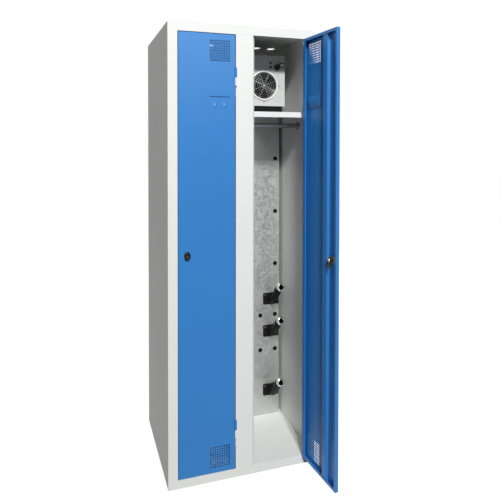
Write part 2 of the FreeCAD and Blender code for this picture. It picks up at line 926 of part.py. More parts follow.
def door_stiffener(name):
    """Full-height hat section welded to the inside of the skin."""
    body = new_body(f"door_stiffener_{name}")
    right = f"(-{HINGE_SIDE} - stiffener_edge)"
    left = f"({right} - stiffener_wide)"
    deep = f"({SKIN_BACK} + stiffener_deep)"
    sketch = plan(body, f"{DOOR_LOW} + sheet_thick")
    outline(sketch, [
        (left, SKIN_BACK),
        (f"{left} + stiffener_foot", SKIN_BACK),
        (f"{left} + stiffener_foot", f"{deep} - sheet_thick"),
        (f"{right} - stiffener_foot", f"{deep} - sheet_thick"),
        (f"{right} - stiffener_foot", SKIN_BACK),
        (right, SKIN_BACK),
        (right, f"{SKIN_BACK} + sheet_thick"),
        (f"{right} - stiffener_foot + sheet_thick", f"{SKIN_BACK} + sheet_thick"),
        (f"{right} - stiffener_foot + sheet_thick", deep),
        (f"{left} + stiffener_foot - sheet_thick", deep),
        (f"{left} + stiffener_foot - sheet_thick", f"{SKIN_BACK} + sheet_thick"),
        (left, f"{SKIN_BACK} + sheet_thick"),
    ])
    pad(sketch, f"{DOOR_HIGH} - {DOOR_LOW} - 2 * sheet_thick")
    hang(body, name)


def knuckle_master(label, sign, low, long):
    """One hinge knuckle with the leaf that is welded in the gap beside the door."""
    knuckle = new_body(label, node=False)
    barrel = plan(knuckle, low)
    circle(barrel, "0", "0", "knuckle_radius")
    pad(barrel, long)
    leaf = plan(knuckle, low)
    rectangle(leaf, f"{sign} * {HINGE_SIDE}", "0", f"-{sign} * leaf_thick", "leaf_deep")
    pad(leaf, long)
    bore = plan(knuckle, f"{low} + {long}")
    circle(bore, "0", "0", "pin_radius + pin_fit")
    pocket(bore)
    return knuckle


def pin_master():
    """One hinge pin with a flat head on top."""
    pin = new_body("hinge_pin", node=False)
    top = "door_knuckle_long + knuckle_gap"
    outline(side(pin), [
        ("0", "-frame_knuckle_long"),
        ("pin_radius", "-frame_knuckle_long"),
        ("pin_radius", top),
        ("pin_head", top),
        ("pin_head", f"{top} + pin_head_thick"),
        ("0", f"{top} + pin_head_thick"),
    ])
    turn(pin.Group[-1], "Z_Axis")
    return pin


def hinges():
    """Door knuckles on the doors, and frame knuckles and pins on the carcass."""
    door_knuckle = knuckle_master("door_knuckle", -1, "0", "door_knuckle_long")
    long = "(frame_knuckle_long - knuckle_gap)"
    frame_knuckle = knuckle_master("frame_knuckle", 1, "-frame_knuckle_long", long)
    pin = pin_master()
    doc.recompute()
    for name in SIDES:
        item = group(f"door_knuckles_{name}", copies(door_knuckle, [("0", "0", z) for z in HINGE_HEIGHTS]))
        hang(item, name)
    places = [
        (hinge, "-pin_proud", height)
        for hinge in (LEFT_HINGE, RIGHT_HINGE)
        for height in HINGE_HEIGHTS
    ]
    group("frame_knuckles", copies(frame_knuckle, places))
    group("hinge_pins", copies(pin, places))


LOCK_ACROSS = f"(-{HINGE_SIDE} - {DOOR_WIDE} + lock_edge)"
CAM_FRONT = "(pin_proud + rebate_deep + sheet_thick + cam_clear)"


def hexagon(sketch, across_flats):
    """A regular hexagon about the sketch's origin, two corners to the sides."""
    corner = f"({across_flats} / 2 / cos(30))"
    points = []
    for step in range(6):
        points.append((f"{corner} * cos({60 * step})", f"{corner} * sin({60 * step})"))
    return outline(sketch, points)


def hang_lock(body, name):
    """Put a lock piece on its door, turned with the door about the hinge axis."""
    hinge = LEFT_HINGE if name == "left" else RIGHT_HINGE
    angle = "0" if name == "left" else "open_angle"
    across = f"{hinge} + {LOCK_ACROSS} * cos({angle})"
    back = f"-pin_proud + {LOCK_ACROSS} * sin({angle})"
    place(body, across, back, "lock_height", angle)


def lock_body(name):
    """Chromed lock barrel with a flange outside the skin and a hexagon nut inside."""
    body = new_body(f"lock_body_{name}")
    barrel = front(body, "pin_proud - lock_flange_thick")
    circle(barrel, "0", "0", "lock_body_radius")
    pad(barrel, f"{CAM_FRONT} - cam_clear - pin_proud + lock_flange_thick", reverse=True)
    flange = front(body, "pin_proud")
    circle(flange, "0", "0", "lock_flange")
    pad(flange, "lock_flange_thick")
    nut = front(body, SKIN_BACK)
    hexagon(nut, "lock_nut_across")
    pad(nut, "lock_nut_thick", reverse=True)
    bore = front(body, "pin_proud - lock_flange_thick")
    circle(bore, "0", "0", "plug_radius + plug_fit")
    pocket(bore)
    hang_lock(body, name)


def lock_cam(name):
    """Keyed plug through the barrel, with the cam and its bolt behind."""
    body = new_body(f"lock_cam_{name}")
    plug_face = "(pin_proud - lock_flange_thick + plug_recess)"
    plug = front(body, plug_face)
    circle(plug, "0", "0", "plug_radius")
    pad(plug, f"{CAM_FRONT} - {plug_face}", reverse=True)
    cam = front(body, CAM_FRONT)
    outline(cam, [
        ("-cam_wide / 2", "cam_wide / 2"),
        ("-cam_wide / 2", "-cam_long + cam_wide / 4"),
        ("-cam_wide / 4", "-cam_long"),
        ("cam_wide / 4", "-cam_long"),
        ("cam_wide / 2", "-cam_long + cam_wide / 4"),
        ("cam_wide / 2", "cam_wide / 2"),
    ])
    pad(cam, "cam_thick", reverse=True)
    bolt = front(body, f"{CAM_FRONT} + cam_thick")
    hexagon(bolt, "cam_bolt_across")
    pad(bolt, "cam_bolt_thick", reverse=True)
    slot = front(body, plug_face)
    rectangle(slot, "-key_slot_wide / 2", "-key_slot_tall / 2", "key_slot_wide", "key_slot_tall")
    pocket(slot, "key_slot_deep")
    hang_lock(body, name)


# Fan heater: X from the middle of the compartment, Y from the front of its housing.

def seat(body, sign, across="0", back="0", up="0"):
    """Put a heater piece in its compartment."""
    place(body, f"{sign} * {BAY_MIDDLE} + {across}", f"heater_depth + {back}", up)


def heater_housing(name, sign):
    """Folded box, open at the back, on a recessed plinth, with the fan and control holes."""
    body = new_body(f"heater_housing_{name}")
    half = "heater_wide / 2"
    deep = f"({BACK_FACE} - heater_depth)"
    box = front(body)
    rectangle(box, f"-{half}", HEATER_LOW, "heater_wide", "heater_tall")
    pad(box, deep, reverse=True)
    hollow = front(body, "sheet_thick")
    rectangle(
        hollow,
        f"-{half} + sheet_thick",
        f"{HEATER_LOW} + sheet_thick",
        "heater_wide - 2 * sheet_thick",
        "heater_tall - 2 * sheet_thick",
    )
    pocket(hollow, deep)
    plinth = plan(body, "shelf_height")
    outer = "(heater_wide - 2 * plinth_inset)"
    inner = f"({outer} - 2 * sheet_thick)"
    rectangle(plinth, f"-{outer} / 2", "plinth_inset", outer, f"{deep} - plinth_inset")
    rectangle(
        plinth,
        f"-{inner} / 2",
        "plinth_inset + sheet_thick",
        inner,
        f"{deep} - plinth_inset - 2 * sheet_thick",
    )
    pad(plinth, "plinth_tall")
    holes = front(body)
    circle(holes, "0", "fan_height", "fan_opening")
    circle(holes, "knob_across", "control_height", "knob_hole")
    for step in range(2):
        circle(holes, "fuse_across", f"control_height + {step} * fuse_pitch", "fuse_hole")
    slot_wide = "(rocker_long + 2 * rocker_clear + 2 * sheet_thick)"
    slot_tall = "(2 * rocker_radius)"
    rectangle(
        holes,
        f"rocker_across - {slot_wide} / 2",
        f"rocker_height - {slot_tall} / 2",
        slot_wide,
        slot_tall,
    )
    pocket(holes, "2 * sheet_thick")
    outlet = plan(body, f"{HEATER_LOW} + sheet_thick")
    inside = "(outlet_side - 2 * sheet_thick)"
    rectangle(outlet, f"-{inside} / 2", f"outlet_depth - heater_depth - {inside} / 2", inside, inside)
    pocket(outlet, "2 * sheet_thick")
    seat(body, sign)


def air_outlet(name, sign):
    """Square spigot from the heater's floor through the shelf into the duct."""
    body = new_body(f"air_outlet_{name}")
    inside = "(outlet_side - 2 * sheet_thick)"
    wide = "(outlet_side + 2 * outlet_flange)"
    tube = plan(body, "shelf_height - outlet_drop")
    rectangle(tube, "-outlet_side / 2", "-outlet_side / 2", "outlet_side", "outlet_side")
    pad(tube, "outlet_drop + plinth_tall")
    flange = plan(body, "shelf_height")
    rectangle(flange, f"-{wide} / 2", f"-{wide} / 2", wide, wide)
    pad(flange, "sheet_thick")
    bore = plan(body, HEATER_LOW)
    rectangle(bore, f"-{inside} / 2", f"-{inside} / 2", inside, inside)
    pocket(bore)
    place(body, f"{sign} * {BAY_MIDDLE}", "outlet_depth")


def fan_bezel(name, sign):
    """Bright ring round the fan opening, held by four screwed tabs."""
    body = new_body(f"fan_bezel_{name}")
    ring = front(body)
    circle(ring, "0", "0", "bezel_outer")
    pad(ring, "bezel_thick")
    tab = front(body)
    half = "bezel_tab_wide / 2"
    outline(tab, [
        (f"-{half}", "bezel_outer - bezel_tab_root"),
        (half, "bezel_outer - bezel_tab_root"),
        (half, "bezel_tab_reach - bezel_tab_wide / 4"),
        ("bezel_tab_wide / 4", "bezel_tab_reach"),
        ("-bezel_tab_wide / 4", "bezel_tab_reach"),
        (f"-{half}", "bezel_tab_reach - bezel_tab_wide / 4"),
    ])
    around(pad(tab, "bezel_thick / 2"), "Y_Axis", "4")
    mouth = front(body, "-bezel_thick")
    circle(mouth, "0", "0", "bezel_inner")
    pocket(mouth)
    hole = front(body, "-bezel_thick")
    circle(hole, "0", "bezel_tab_reach - bezel_tab_wide / 3", "bezel_screw")
    around(pocket(hole), "Y_Axis", "4")
    seat(body, sign, "0", "0", "fan_height")


def fan_guard(name, sign):
    """Guard on the bezel: rings joined by spokes round a small centre plate."""
    body = new_body(f"fan_guard_{name}")
    hub = front(body)
    circle(hub, "0", "0", "guard_hub")
    pad(hub, "wire_thick")
    spoke = front(body)
    rectangle(spoke, "-wire_thick / 2", "0", "wire_thick", "guard_outer - wire_thick / 2")
    around(pad(spoke, "wire_thick"), "Y_Axis", "guard_spokes")
    rings = front(body)
    for step in range(int(SIZES["guard_rings"])):
        middle = f"(guard_hub + (guard_outer - guard_hub) * {step + 1} / guard_rings)"
        circle(rings, "0", "0", f"{middle} - wire_thick")
        circle(rings, "0", "0", middle)
    pad(rings, "wire_thick")
    seat(body, sign, "0", "-bezel_thick", "fan_height")


def fan_frame(name, sign):
    """Round fan duct behind the opening, with struts, the motor and its shaft."""
    body = new_body(f"fan_frame_{name}")
    ring = front(body)
    circle(ring, "0", "0", "frame_outer")
    circle(ring, "0", "0", "frame_inner")
    pad(ring, "frame_deep", reverse=True)
    flange = front(body)
    circle(flange, "0", "0", "bezel_outer")
    circle(flange, "0", "0", "frame_inner")
    pad(flange, "frame_flange", reverse=True)
    strut = front(body, "frame_deep - strut_thick")
    rectangle(strut, "-strut_wide / 2", "0", "strut_wide", "(frame_inner + frame_outer) / 2")
    around(pad(strut, "strut_thick", reverse=True), "Y_Axis", "4")
    motor = front(body, "frame_deep - motor_deep")
    circle(motor, "0", "0", "motor_radius")
    pad(motor, "motor_deep", reverse=True)
    shaft_tip = "(fan_set_back + fan_hub_face + shaft_end_gap)"
    shaft = front(body, shaft_tip)
    circle(shaft, "0", "0", "shaft_radius")
    pad(shaft, f"frame_deep - {shaft_tip}", reverse=True)
    seat(body, sign, "0", "sheet_thick", "fan_height")


def fan_impeller(name, sign):
    """Axial impeller: a cupped hub with twisted blades that taper in pitch to the tip."""
    body = new_body(f"fan_impeller_{name}")
    hub = front(body)
    circle(hub, "0", "0", "fan_hub")
    pad(hub, "fan_hub_deep", reverse=True)
    sections = []
    for radius, chord, pitch in (
        ("fan_hub - fan_hub_wall", "root_chord", "root_pitch"),
        ("fan_radius", "tip_chord", "tip_pitch"),
    ):
        section = side(body, radius)
        corners = []
        for along, across in ((-1, -1), (1, -1), (1, 1), (-1, 1)):
            back = f"{along} * {chord} / 2 * sin({pitch}) + {across} * blade_thick / 2 * cos({pitch})"
            rise = f"{along} * {chord} / 2 * cos({pitch}) - {across} * blade_thick / 2 * sin({pitch})"
            corners.append((f"fan_hub_deep / 2 + {back}", rise))
        sections.append(outline(section, corners))
    blade = body.newObject("PartDesign::AdditiveLoft", f"{body.Label}_blade")
    blade.Profile = sections[0]
    blade.Sections = sections[1:]
    blade.Ruled = True
    around(blade, "Y_Axis", "blade_count")
    cup = front(body, "fan_hub_deep / 2")
    circle(cup, "0", "0", "fan_hub - fan_hub_wall")
    pocket(cup, "fan_hub_deep")
    bore = front(body, "fan_hub_face")
    circle(bore, "0", "0", "shaft_radius + shaft_fit")
    pocket(bore)
    seat(body, sign, "0", "sheet_thick + fan_set_back", "fan_height")


def heating_element(name, sign):
    """Finned heating cassette behind the fan, held between the housing's side walls."""
    body = new_body(f"heating_element_{name}")
    wide = "(heater_wide - 2 * sheet_thick)"
    low = "(fan_height - element_tall / 2)"
    frame = front(body)
    rectangle(frame, f"-{wide} / 2", low, wide, "element_tall")
    inner = f"({wide} - 2 * element_rim)"
    rectangle(
        frame,
        f"-{inner} / 2",
        f"{low} + element_rim",
        inner,
        "element_tall - 2 * element_rim",
    )
    pad(frame, "element_deep", reverse=True)
    fin = front(body, "element_deep / 4")
    row_wide = "((fin_count - 1) * fin_pitch)"
    rectangle(fin, f"-{row_wide} / 2 - fin_thick / 2", low, "fin_thick", "element_tall")
    first = pad(fin, "element_deep / 2", reverse=True)
    row = body.newObject("PartDesign::LinearPattern", f"{body.Label}_fins")
    row.Originals = [first]
    row.Direction = (fin, ["H_Axis"])
    bind(row, "Length", row_wide)
    bind(row, "Occurrences", "fin_count")
    body.Tip = row
    seat(body, sign, "0", "element_gap", "0")


def timer_knob(name, sign):
    """Fluted timer knob with a raised cap, on a shaft through the housing."""
    body = new_body(f"timer_knob_{name}")
    skirt = front(body, "-knob_stand_off")
    circle(skirt, "0", "0", "knob_radius")
    pad(skirt, "knob_deep - knob_cap_proud")
    flute = front(body, "-knob_stand_off - knob_skirt")
    circle(flute, "0", "knob_radius + knob_flute_radius / 2", "knob_flute_radius")
    around(pocket(flute, "knob_deep", reverse=True), "Y_Axis", "knob_flutes")
    cap = front(body, "-knob_stand_off")
    circle(cap, "0", "0", "knob_cap_radius")
    pad(cap, "knob_deep")
    shaft = front(body, "-knob_stand_off")
    circle(shaft, "0", "0", "knob_shaft")
    pad(shaft, "knob_deep", reverse=True)
    seat(body, sign, "knob_across", "0", "control_height")


def power_rocker(name, sign):
    """Rocker of the power switch, pivoted in its bezel and tipped to off."""
    body = new_body(f"power_rocker_{name}")
    sketch = side(body, "-rocker_long / 2")
    corners = []
    for radius, angle in (("rocker_radius", 45), ("rocker_dish", 0), ("rocker_radius", -45)):
        turned = f"({angle} - rocker_tilt)"
        corners.append((f"-{radius} * cos({turned})", f"{radius} * sin({turned})"))
    for angle in (-120, 120):
        turned = f"({angle} - rocker_tilt)"
        corners.append((f"-rocker_tail * cos({turned})", f"rocker_tail * sin({turned})"))
    outline(sketch, corners)
    pad(sketch, "rocker_long")
    seat(body, sign, "rocker_across", "0", "rocker_height")


def control_fittings(name, sign):
    """Rocker bezel with its switch box, and two fuse holders."""
    bezel = new_body(f"rocker_bezel_{name}", node=False)
    slot_wide = "(rocker_long + 2 * rocker_clear)"
    slot_tall = "(2 * rocker_radius - 2 * sheet_thick)"
    plate = front(bezel)
    rim_wide = f"({slot_wide} + 2 * rocker_bezel + 2 * sheet_thick)"
    rim_tall = f"({slot_tall} + 2 * rocker_bezel + 2 * sheet_thick)"
    rectangle(plate, f"-{rim_wide} / 2", f"-{rim_tall} / 2", rim_wide, rim_tall)
    pad(plate, "rocker_bezel_thick")
    box_wide = f"({slot_wide} + 2 * sheet_thick - 2 * rocker_box_fit)"
    box_tall = f"({slot_tall} + 2 * sheet_thick - 2 * rocker_box_fit)"
    box = front(bezel)
    rectangle(box, f"-{box_wide} / 2", f"-{box_tall} / 2", box_wide, box_tall)
    pad(box, "rocker_box_deep", reverse=True)
    well = front(bezel, "-rocker_bezel_thick")
    rectangle(well, f"-{slot_wide} / 2", f"-{slot_tall} / 2", slot_wide, slot_tall)
    pocket(well, "rocker_bezel_thick + rocker_box_deep - rocker_box_floor")
    fuse = new_body(f"fuse_holder_{name}", node=False)
    outline(plan(fuse), [
        ("0", "fuse_tail"),
        ("fuse_neck", "fuse_tail"),
        ("fuse_neck", "0"),
        ("fuse_radius", "0"),
        ("fuse_radius", "-fuse_proud + fuse_chamfer"),
        ("fuse_radius - fuse_chamfer", "-fuse_proud"),
        ("0", "-fuse_proud"),
    ])
    turn(fuse.Group[-1], "Y_Axis")
    doc.recompute()
    places = [
        ("fuse_across", "heater_depth", f"control_height + {step} * fuse_pitch")
        for step in range(2)
    ]
    solids = copies(bezel, [("rocker_across", "heater_depth", "rocker_height")])
    solids += copies(fuse, places)
    group(f"control_fittings_{name}", solids, f"{sign} * {BAY_MIDDLE}")


def build_carcass():
    """The sheet-steel shell and front frame."""
    for name, sign in SIDES.items():
        side_panel(name, sign)
        stile(name, sign)
    centre_stile()
    rail_channel("top_rail", "(cabinet_tall - header_tall)", ROOF_UNDER, "header_return", "header_return")
    rail_channel("bottom_sill", "0", "sill_tall", "rebate_deep", "sill_return")
    partition()
    back_panel()
    floor_panel()
    roof_panel()
    roof_vents()
    cable_glands()


def build_compartments():
    """Shelf, rail, duct, nozzles, boot arms and fan heater of each compartment."""
    nozzle = nozzle_master()
    base = arm_base_master()
    collar = collar_master()
    doc.recompute()
    for name, sign in SIDES.items():
        shelf(name, sign)
        clothes_rail(name, sign)
        air_duct(name, sign)
        duct_nozzles(name, sign, nozzle)
        boot_arms(name, sign, base, collar)
        heater_housing(name, sign)
        air_outlet(name, sign)
        fan_bezel(name, sign)
        fan_guard(name, sign)
        fan_frame(name, sign)
        fan_impeller(name, sign)
        heating_element(name, sign)
        timer_knob(name, sign)
        power_rocker(name, sign)
        control_fittings(name, sign)


def build_doors():
    """Both doors with their stiffeners, locks and hinges."""
    for name in SIDES:
        door_panel(name)
        door_stiffener(name)
        lock_body(name)
        lock_cam(name)
    hinges()


def check():
    """Stop on a failed object, a broken solid or a cut that removes nothing."""
    for item in doc.Objects:
        if {"Invalid", "Error"} & set(item.State):
            raise RuntimeError(f"{item.Label}: {item.State}")
    for item in nodes:
        if item.Shape.isNull() or not item.Shape.isValid() or not item.Shape.Solids:
            raise RuntimeError(f"{item.Label}: no valid solid")
    for cut in cuts:
        before = cut.BaseFeature.Shape.Volume
        if cut.Shape.Volume > before - 0.01:
            raise RuntimeError(f"{cut.Label}: the cut removes nothing")


def write():
    """Write each node to its own file."""
    os.makedirs("parts", exist_ok=True)
    for item in nodes:
        item.Shape.exportStep(os.path.join("parts", f"{item.Label}.step"))


build_carcass()
build_compartments()
build_doors()
doc.recompute()
check()
write()
print(len(nodes), "nodes written")
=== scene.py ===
"""Dressing of a two-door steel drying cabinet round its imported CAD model.

Folded sheet steel with powder-coat enamel, galvanised air ducts, a fan heater with a wire guard in each
compartment, and black boot arms with bright collars. All lengths are in metres, in the model's own frame.
"""

import json
import logging
import math
from dataclasses import dataclass, field
from enum import Enum
from typing import Any, Callable, Iterable, Mapping, Sequence

import bmesh
import bpy
import numpy as np
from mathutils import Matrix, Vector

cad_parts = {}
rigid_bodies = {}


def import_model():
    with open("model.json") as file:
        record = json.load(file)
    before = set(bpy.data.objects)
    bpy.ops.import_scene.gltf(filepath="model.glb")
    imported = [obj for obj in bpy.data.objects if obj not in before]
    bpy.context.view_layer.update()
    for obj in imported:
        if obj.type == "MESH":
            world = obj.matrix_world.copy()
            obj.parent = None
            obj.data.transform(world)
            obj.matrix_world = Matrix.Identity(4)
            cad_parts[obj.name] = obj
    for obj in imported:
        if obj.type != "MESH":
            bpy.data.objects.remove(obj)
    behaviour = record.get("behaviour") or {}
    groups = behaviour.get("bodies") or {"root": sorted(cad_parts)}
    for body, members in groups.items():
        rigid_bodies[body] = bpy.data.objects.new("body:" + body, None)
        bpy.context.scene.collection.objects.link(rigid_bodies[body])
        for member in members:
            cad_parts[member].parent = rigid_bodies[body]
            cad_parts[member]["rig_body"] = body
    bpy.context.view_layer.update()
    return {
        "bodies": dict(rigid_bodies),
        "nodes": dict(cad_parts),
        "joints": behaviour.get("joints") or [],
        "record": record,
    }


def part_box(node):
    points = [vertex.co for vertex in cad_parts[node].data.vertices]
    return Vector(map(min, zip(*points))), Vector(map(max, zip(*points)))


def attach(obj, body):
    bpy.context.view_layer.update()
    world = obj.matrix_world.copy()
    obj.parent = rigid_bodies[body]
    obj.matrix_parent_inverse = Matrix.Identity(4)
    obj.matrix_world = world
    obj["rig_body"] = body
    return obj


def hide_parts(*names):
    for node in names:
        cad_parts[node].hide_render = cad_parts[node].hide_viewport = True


LOG = logging.getLogger("drying_cabinet")
Array = np.ndarray
Pair = tuple[float, float]
Triple = tuple[float, float, float]
Socket = bpy.types.NodeSocket
Tree = bpy.types.NodeTree
MM = 0.001
SEAM = 0.001 * MM


class Axis(Enum):
    """An axis that a form goes round or along, as the places of its (side, side, along) columns."""

    X = (1, 2, 0)
    Y = (0, 2, 1)
    Z = (0, 1, 2)


class Side(Enum):
    """The two compartments, with the names used in the model's nodes and bodies."""

    LEFT = "left"
    RIGHT = "right"


# Surfaces


@dataclass
class Surface:
    """Points and faces of one or more closed skins."""

    points: Array
    faces: list[tuple[int, ...]]

    def moved(self, offset: Sequence[float]) -> "Surface":
        """The surface shifted by a vector."""
        return Surface(self.points + np.asarray(offset, float), self.faces)

    def turned(self, angle: float, axis: Axis) -> "Surface":
        """The surface turned about an axis through the origin.

        Args:
            angle: Turn in radians, right-handed about the axis.
            axis: Axis of the turn.

        Returns:
            A new surface. The two coordinates across the axis mix with the cosine and sine of the angle.
        """
        across = {Axis.X: (1, 2), Axis.Y: (2, 0), Axis.Z: (0, 1)}[axis]
        points = self.points.copy()
        first, second = (self.points[:, column] for column in across)
        points[:, across[0]] = first * math.cos(angle) - second * math.sin(angle)
        points[:, across[1]] = first * math.sin(angle) + second * math.cos(angle)
        return Surface(points, self.faces)


def joined(surfaces: Iterable[Surface]) -> Surface:
    """Several surfaces as one, in the order given."""
    points: list[Array] = []
    faces: list[tuple[int, ...]] = []
    count = 0
    for surface in surfaces:
        points.append(surface.points)
        faces += [tuple(index + count for index in face) for face in surface.faces]
        count += len(surface.points)
    return Surface(np.vstack(points), faces)


def grid(points: Array, close_rows: bool = False, close_columns: bool = False) -> Surface:
    """A surface of four-sided faces over a grid of points.

    Args:
        points: Array of rows by columns by 3.
        close_rows: Whether the last row joins the first.
        close_columns: Whether the last column joins the first.

    Returns:
        The surface; the face at row i and column j joins the points (i, j), (i, j+1), (i+1, j+1), (i+1, j).
    """
    rows, columns = points.shape[:2]
    low_rows, low_columns = np.meshgrid(
        np.arange(rows if close_rows else rows - 1),
        np.arange(columns if close_columns else columns - 1),
        indexing="ij",
    )
    next_rows = (low_rows + 1) % rows
    next_columns = (low_columns + 1) % columns
    corners = np.stack([
        low_rows * columns + low_columns,
        low_rows * columns + next_columns,
        next_rows * columns + next_columns,
        next_rows * columns + low_columns,
    ], axis=-1)
    return Surface(points.reshape(-1, 3), [tuple(face) for face in corners.reshape(-1, 4).tolist()])


def lathe(profile: Sequence[Pair], axis: Axis, sides: int = 48, closed: bool = False) -> Surface:
    """A profile turned a full circle.

    Args:
        profile: Pairs of radius and distance along the axis.
        axis: Axis of the turn.
        sides: Number of steps round the circle.
        closed: Whether the profile's end joins its start, as in a ring.

    Returns:
        Point (i, j) is (radius_i * cos(angle_j), radius_i * sin(angle_j)) across the axis, along_i on it.
    """
    pairs = np.asarray(profile, float)
    angle = np.linspace(0, 2 * math.pi, sides, endpoint=False)
    first = pairs[:, :1] * np.cos(angle)
    second = pairs[:, :1] * np.sin(angle)
    along = np.broadcast_to(pairs[:, 1:], first.shape)
    points = np.empty((*first.shape, 3))
    for place, column in zip(axis.value, (first, second, along)):
        points[..., place] = column
    return grid(points, close_rows=closed, close_columns=True)


def oval(across: float, along: float, wide: float, tall: float, steps: int) -> list[Pair]:
    """Section of a ring: (across + wide * cos(t), along + tall * sin(t)) at each step t of a full turn."""
    turn = np.linspace(0, 2 * math.pi, steps, endpoint=False)
    return [(across + wide * math.cos(t), along + tall * math.sin(t)) for t in turn]


def rounded_profile(corners: Sequence[Triple], steps: int = 4) -> list[Pair]:
    """An open line through corners, each rounded by an arc.

    Args:
        corners: Triples of x, y and the radius of the arc that replaces the corner.
        steps: Number of steps in each arc.

    Returns:
        Points of the line. An arc touches both of its edges at radius / tan(half the corner's angle).
    """
    places = np.asarray(corners, float)
    line: list[Pair] = []
    for index, (x, y, radius) in enumerate(corners):
        if radius == 0 or index in (0, len(corners) - 1):
            line.append((x, y))
            continue
        here = places[index, :2]
        back = places[index - 1, :2] - here
        ahead = places[index + 1, :2] - here
        back /= np.linalg.norm(back)
        ahead /= np.linalg.norm(ahead)
        half = math.acos(float(np.clip(back @ ahead, -1, 1))) / 2
        reach = radius / math.tan(half)
        middle = (back + ahead) / np.linalg.norm(back + ahead) * radius / math.sin(half) + here
        start = here + back * reach - middle
        end = here + ahead * reach - middle
        share = np.linspace(0, 1, steps + 1)[:, None]
        sweep = math.pi - 2 * half
        arc = (np.sin((1 - share) * sweep) * start + np.sin(share * sweep) * end) / math.sin(sweep)
        line += [tuple(point) for point in (arc + middle).tolist()]
    return line


def tube(path: Array, radius: float, side: Sequence[float], sides: int) -> Surface:
    """A round skin carried along a path that lies in one plane.

    Args:
        path: Points of the middle line.
        radius: Radius of the skin.
        side: Unit vector square to the path's plane.
        sides: Number of steps round the section.

    Returns:
        Point (i, j) is path_i + radius * (cos(angle_j) * side + sin(angle_j) * normal_i), where normal_i
        is the tangent crossed with side.
    """
    following = np.vstack([path[1:], 2 * path[-1] - path[-2]])
    leading = np.vstack([2 * path[0] - path[1], path[:-1]])
    tangent = following - leading
    tangent /= np.linalg.norm(tangent, axis=1)[:, None]
    across = np.asarray(side, float)
    normal = np.cross(tangent, across)
    angle = np.linspace(0, 2 * math.pi, sides, endpoint=False)[None, :, None]
    points = path[:, None, :] + radius * (np.cos(angle) * across + np.sin(angle) * normal[:, None, :])
    return grid(points, close_columns=True)


def prism(section: Sequence[Pair], low: float, high: float, axis: Axis = Axis.X) -> Surface:
    """A closed section carried straight along an axis.

    Args:
        section: Pairs of the two coordinates across the axis, round the section.
        low: Least distance along the axis.
        high: Greatest distance along the axis.
        axis: The axis.

    Returns:
        Point (i, j) is (first_j, second_j) across the axis and low or high along it; both ends are closed.
    """
    pairs = np.asarray(section, float)
    points = np.empty((2, len(pairs), 3))
    points[..., axis.value[0]] = pairs[:, 0]
    points[..., axis.value[1]] = pairs[:, 1]
    points[..., axis.value[2]] = np.array([[low], [high]])
    return capped(grid(points, close_columns=True), len(pairs))


def capped(skin: Surface, sides: int) -> Surface:
    """A tube's skin with both of its ends closed by a flat face."""
    last = len(skin.points)
    ends = [tuple(range(sides)), tuple(range(last - 1, last - 1 - sides, -1))]
    return Surface(skin.points, skin.faces + ends)


# Finishes


MIX_FACTOR, MIX_FIRST, MIX_SECOND, MIX_RESULT = 0, 6, 7, 2


def linear(colour: str) -> tuple[float, float, float, float]:
    """The linear colour of an sRGB hex value such as "#3A7CC0"."""
    channels = [int(colour[start:start + 2], 16) / 255 for start in (1, 3, 5)]
    red, green, blue = (
        value / 12.92 if value <= 0.04045 else ((value + 0.055) / 1.055) ** 2.4 for value in channels
    )
    return red, green, blue, 1.0


def add_node(
    tree: Tree, kind: str, inputs: Mapping[Any, Any] | None = None, **settings: Any
) -> bpy.types.Node:
    """Adds one node.

    Args:
        tree: The node tree that gets it.
        kind: Blender's type name of the node.
        inputs: For each input, a value to set or a socket to link from.
        settings: Properties of the node itself.

    Returns:
        The new node.
    """
    node = tree.nodes.new(kind)
    for key, value in settings.items():
        setattr(node, key, value)
    for key, value in (inputs or {}).items():
        if isinstance(value, Socket):
            tree.links.new(value, node.inputs[key])
        else:
            node.inputs[key].default_value = value
    return node


def new_material(name: str) -> tuple[bpy.types.Material, Tree]:
    """An empty material and its tree."""
    material = bpy.data.materials.new(name)
    material.use_nodes = True
    material.node_tree.nodes.clear()
    return material, material.node_tree


@dataclass(frozen=True)
class Finish:
    """What the cabinet's finishes share: two tones, a roughness and a fine relief."""

    name: str
    colour: str
    shade: str
    roughness: float

    def make(self) -> bpy.types.Material:
        """The finished material, with its patterns on Object coordinates."""
        material, tree = new_material(self.name)
        self.paint(tree, add_node(tree, "ShaderNodeTexCoord").outputs["Object"])
        return material

    def coat(
        self, tree: Tree, tone: Socket, dull: Socket, limits: Pair, relief: Socket, strength: float,
        depth: float, fixed: Mapping[str, float],
    ) -> None:
        """Brings the patterns together in one shader.

        Args:
            tree: The material's nodes.
            tone: Pattern from 0 to 1 that leads from the colour to the shade.
            dull: Pattern from 0 to 1 that leads through the roughness.
            limits: The roughness at 0 and at 1.
            relief: Pattern of heights.
            strength: How much of the relief shows.
            depth: Height of the relief.
            fixed: Inputs of the shader that are the same all over.
        """
        tint = add_node(tree, "ShaderNodeMix", {
            MIX_FACTOR: tone, MIX_FIRST: linear(self.colour), MIX_SECOND: linear(self.shade),
        }, data_type="RGBA")
        rough = add_node(tree, "ShaderNodeMapRange", {
            "Value": dull, "To Min": limits[0], "To Max": limits[1],
        })
        bump = add_node(tree, "ShaderNodeBump", {"Height": relief, "Strength": strength, "Distance": depth})
        shader = add_node(tree, "ShaderNodeBsdfPrincipled", {
            "Base Color": tint.outputs[MIX_RESULT],
            "Roughness": rough.outputs["Result"],
            "Normal": bump.outputs["Normal"],
            **fixed,
        })
        add_node(tree, "ShaderNodeOutputMaterial", {"Surface": shader.outputs[0]})


